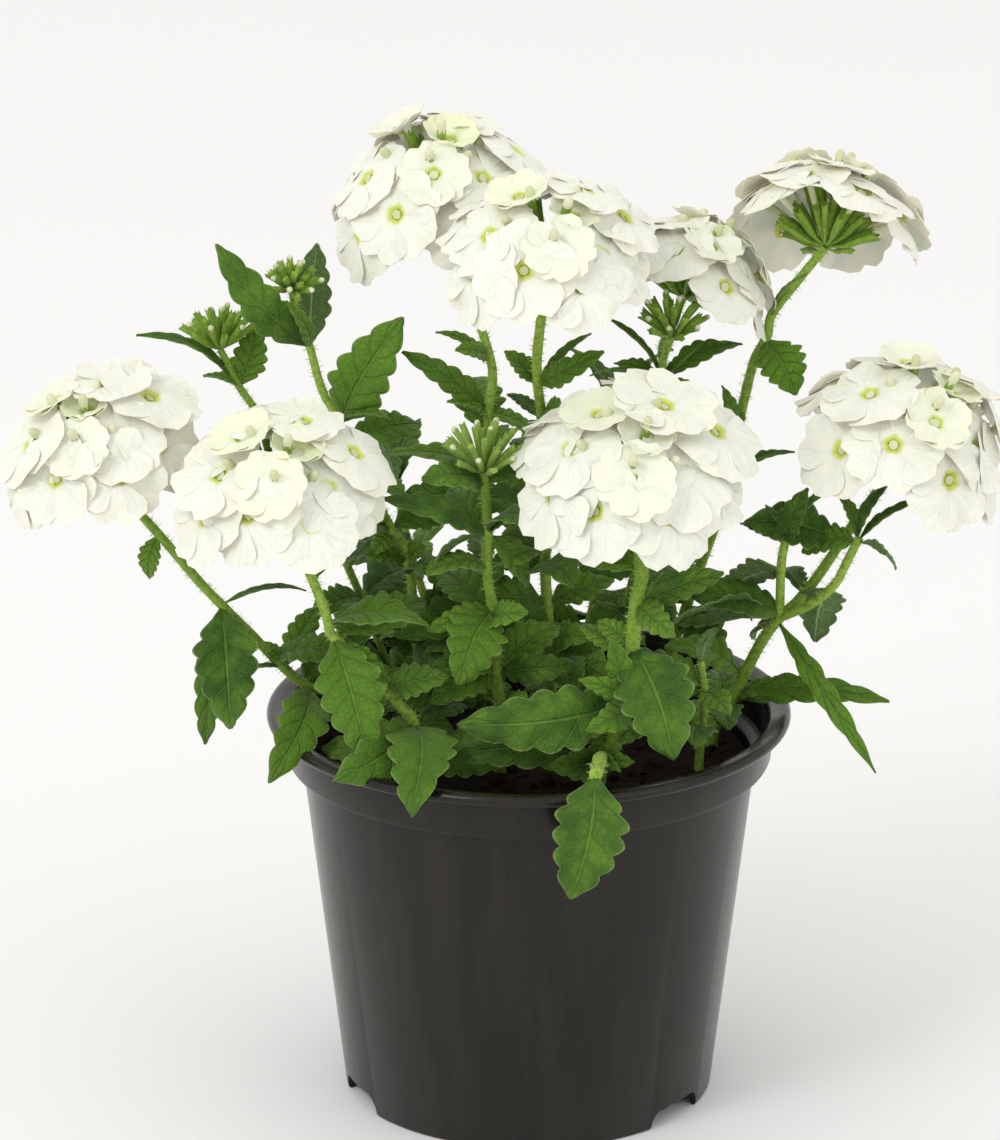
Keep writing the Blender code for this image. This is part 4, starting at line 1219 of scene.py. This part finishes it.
def grow_bud(body, root, way, length, radius, draw, age):
    """Grow a closed bud, a small egg that stands out of its calyx."""
    path = [root + way * (share * length) for share in (0.0, 0.35, 0.7, 0.92, 1.0)]
    radii = [radius * share for share in (0.7, 0.8, 1.0, 0.75, 0.25)]
    shaft(body, path, radii, TUBE_SIDES, (age, TUBE_KIND, draw.random()))


print("flower shape ready")

# %% [markdown]
# ## Open heads
# The flowers of a head stand at a few different levels, so that they shingle. The youngest, at the
# top, are smaller and more cupped. Calyces join the flowers to the swollen end of the stem.

# %% Grow heads
# The flowers stand between DOME_LOW and DOME_HIGH from the stem's end, over a cap that is cut
# short by FRONT_CUT degrees in the heads that lean to the front, and by SIDE_CUT in the others.
FLORETS = 15
FLORET_RADIUS = 12.0
DOME_LOW = 20.2
DOME_HIGH = 24.2
FRONT_LEAN = -0.4
FRONT_CUT = 29.0
SIDE_CUT = 12.0
DOME_LIFT = 0.14
DOME_SQUASH = 0.96
DOME_FACING = 0.30
DOME_SHARE = 0.975
GOLDEN_SHARE = 0.618
TOP_BUDS = 9
BUD_PLACES = 44
LOW_CALYCES = 20
CALYX_PLACES = 28


def grow_head(name, seed, green):
    """Grow one head's flowers, and add their calyces to the shoot's own body."""
    listed, size, cap_angle = HEADS[name]
    size *= DOME_SHARE
    axis = (Vector(listed) + Vector((0.0, 0.0, DOME_LIFT))).normalized()
    centre = Vector(SHOOTS[name]["stem"][-1])
    draw = random.Random(seed)
    body = growing_body()
    flower_angle = cap_angle - (FRONT_CUT if listed[1] < FRONT_LEAN else SIDE_CUT)
    for index in range(FLORETS):
        way = cap_direction(index, FLORETS, flower_angle, axis)
        jitter = Vector([draw.uniform(-0.07, 0.07) for _ in range(3)])
        way = (way + jitter).normalized()
        young = max(0.0, 1.0 - index / 4.0)
        level = DOME_LOW + (DOME_HIGH - DOME_LOW) * ((index * GOLDEN_SHARE) % 1.0)
        level = (level + 1.2 * young) * size
        radius = FLORET_RADIUS * size * (1.0 - 0.46 * young) * draw.uniform(0.92, 1.03)
        cup = draw.uniform(-0.22, -0.02) + 0.45 * young
        mouth = centre + (way - axis * (way.dot(axis) * (1.0 - DOME_SQUASH))) * level
        sway = Vector([draw.uniform(-0.13, 0.13) for _ in range(3)])
        tilt = (way + axis * DOME_FACING + sway).normalized()
        calyx = grow_calyx(green, centre + way * 1.2, way, 11.0 * size, draw, 0.8)
        turn = draw.uniform(0.0, math.tau)
        age = young * draw.uniform(0.3, 0.7)
        grow_flower(body, calyx - way * 1.5, mouth, tilt, turn, radius, cup, draw, age)
    for index in range(TOP_BUDS):
        way = cap_direction(index, BUD_PLACES, cap_angle, axis)
        calyx = grow_calyx(green, centre + way * 1.2, way, (21.0 - 0.6 * index) * size, draw, 0.9)
        grow_bud(body, calyx - way * 1.5, way, 5.2 * size, 1.25, draw, 0.9)
    for index in range(CALYX_PLACES - LOW_CALYCES, CALYX_PLACES):
        way = cap_direction(index, CALYX_PLACES, cap_angle, axis)
        grow_calyx(green, centre + way * 1.2, way, 12.0 * size, draw, 0.72)
    return body


print("flowers a head:", FLORETS, "with", TOP_BUDS, "buds")

# %% [markdown]
# ## Closed buds
# Before it opens, a head is a tight fan of calyces. A pale bud shows in every third of them, and the
# longest fan is a paler green.

# %% Grow bud clusters
CLUSTER_CALYCES = 24
CLUSTER_SPREAD = 0.85
LONG_FAN = 11.0


def grow_bud_cluster(top, fan, body, seed):
    """Grow a fan of calyces with closed buds on a shoot."""
    axis, spread, reach = fan
    age = 0.3 if reach > LONG_FAN else 0.0
    top = Vector(top)
    draw = random.Random(seed)
    buds = growing_body()
    for index in range(CLUSTER_CALYCES):
        way = cap_direction(index, CLUSTER_CALYCES, spread * CLUSTER_SPREAD, axis)
        length = reach * draw.uniform(0.82, 0.98)
        calyx = grow_calyx(body, top + way * 0.8, way, length, draw, 0.7, age)
        if index % 3 == 0:
            grow_bud(buds, calyx - way * 1.0, way, 2.6, 0.75, draw, 0.9)
    return buds


print("calyces a cluster:", CLUSTER_CALYCES)

# %% [markdown]
# ## Inner foliage
# Low on its stems a verbena is thick with small leaves in crossed pairs. They are set by rule inside
# the plant, and none of them reaches past the rim.

# %% Inner leaves
PAIR_STEP = 10.0
PAIR_LOW = 94.0
PAIR_HIGH = 170.0
PAIR_REACH = 58.0
PAIR_FRONT = -46.0


def fill_leaves(body, shoot, draw):
    """Set crossed pairs of small leaves on the low part of a stem."""
    turn = draw.uniform(0.0, math.tau)
    walked = 0.0
    path = smoothed(stem_points(shoot))
    for low, high in zip(path, path[1:]):
        walked += (high - low).length
        if walked < PAIR_STEP or not PAIR_LOW < low.z < PAIR_HIGH:
            continue
        walked = 0.0
        turn += math.pi / 2.0
        for hand in (0.0, math.pi):
            way = Vector((math.cos(turn + hand), math.sin(turn + hand), draw.uniform(0.0, 0.45)))
            length = draw.uniform(15.0, 25.0)
            tip = low + way.normalized() * length
            if math.hypot(tip.x, tip.y) < PAIR_REACH and tip.z > PAIR_LOW and tip.y > PAIR_FRONT:
                width = length * draw.uniform(0.46, 0.58)
                grow_leaf(body, low, tip, width, draw.uniform(0.2, 0.6), draw)


print("inner leaves stand within", PAIR_REACH, "mm of the axis")

# %% [markdown]
# ## Shoots
# Each shoot is one piece, grown from its stem and branches, its leaves and the calyces of its head.
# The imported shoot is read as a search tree, which finds the nearest place on it for each leaf.

# %% Grow shoots


def grow_shoot(name, seed):
    """Grow a shoot, with its head or its buds."""
    shoot = SHOOTS[name]
    draw = random.Random(seed)
    body = growing_body()
    thick, thin = shoot["radius"]
    grow_stem(body, stem_points(shoot), thick, thin, draw)
    for branch in shoot.get("branches", []):
        grow_stem(body, branch, thin, thin * BRANCH_TAPER, draw)
    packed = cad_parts["shoot_" + name].data
    tree = BVHTree.FromPolygons([vert.co for vert in packed.vertices],
                                [tuple(face.vertices) for face in packed.polygons])
    grown = 0
    for place, tip, width, facing in shoot["leaves"]:
        root = leaf_root(shoot, place)
        found = fitted_leaf(tree, root, Vector(tip), width, facing)
        if found:
            grow_leaf(body, root, found[0], found[1], facing, draw)
            grown += 1
    fill_leaves(body, shoot, draw)
    if name in HEADS:
        petals = grow_head(name, seed, body)
        finished("petals_" + name, petals, WHITE, ("flowers_" + name,), SHARP)
    if name in SIDE_BRANCH:
        grow_stem(body, SIDE_BRANCH[name], thin, thin * BRANCH_TAPER, draw)
    if name in BUD_CLUSTERS:
        top = SIDE_BRANCH.get(name, shoot["stem"])[-1]
        buds = grow_bud_cluster(top, BUD_CLUSTERS[name], body, seed)
        finished("buds_" + name, buds, WHITE, ("shoot_" + name,))
    print(name, "leaves:", grown, "of", len(shoot["leaves"]))
    finished("greens_" + name, body, GREEN, ("shoot_" + name,), SHARP)


for number, shoot_name in enumerate(SHOOTS):
    grow_shoot(shoot_name, number)
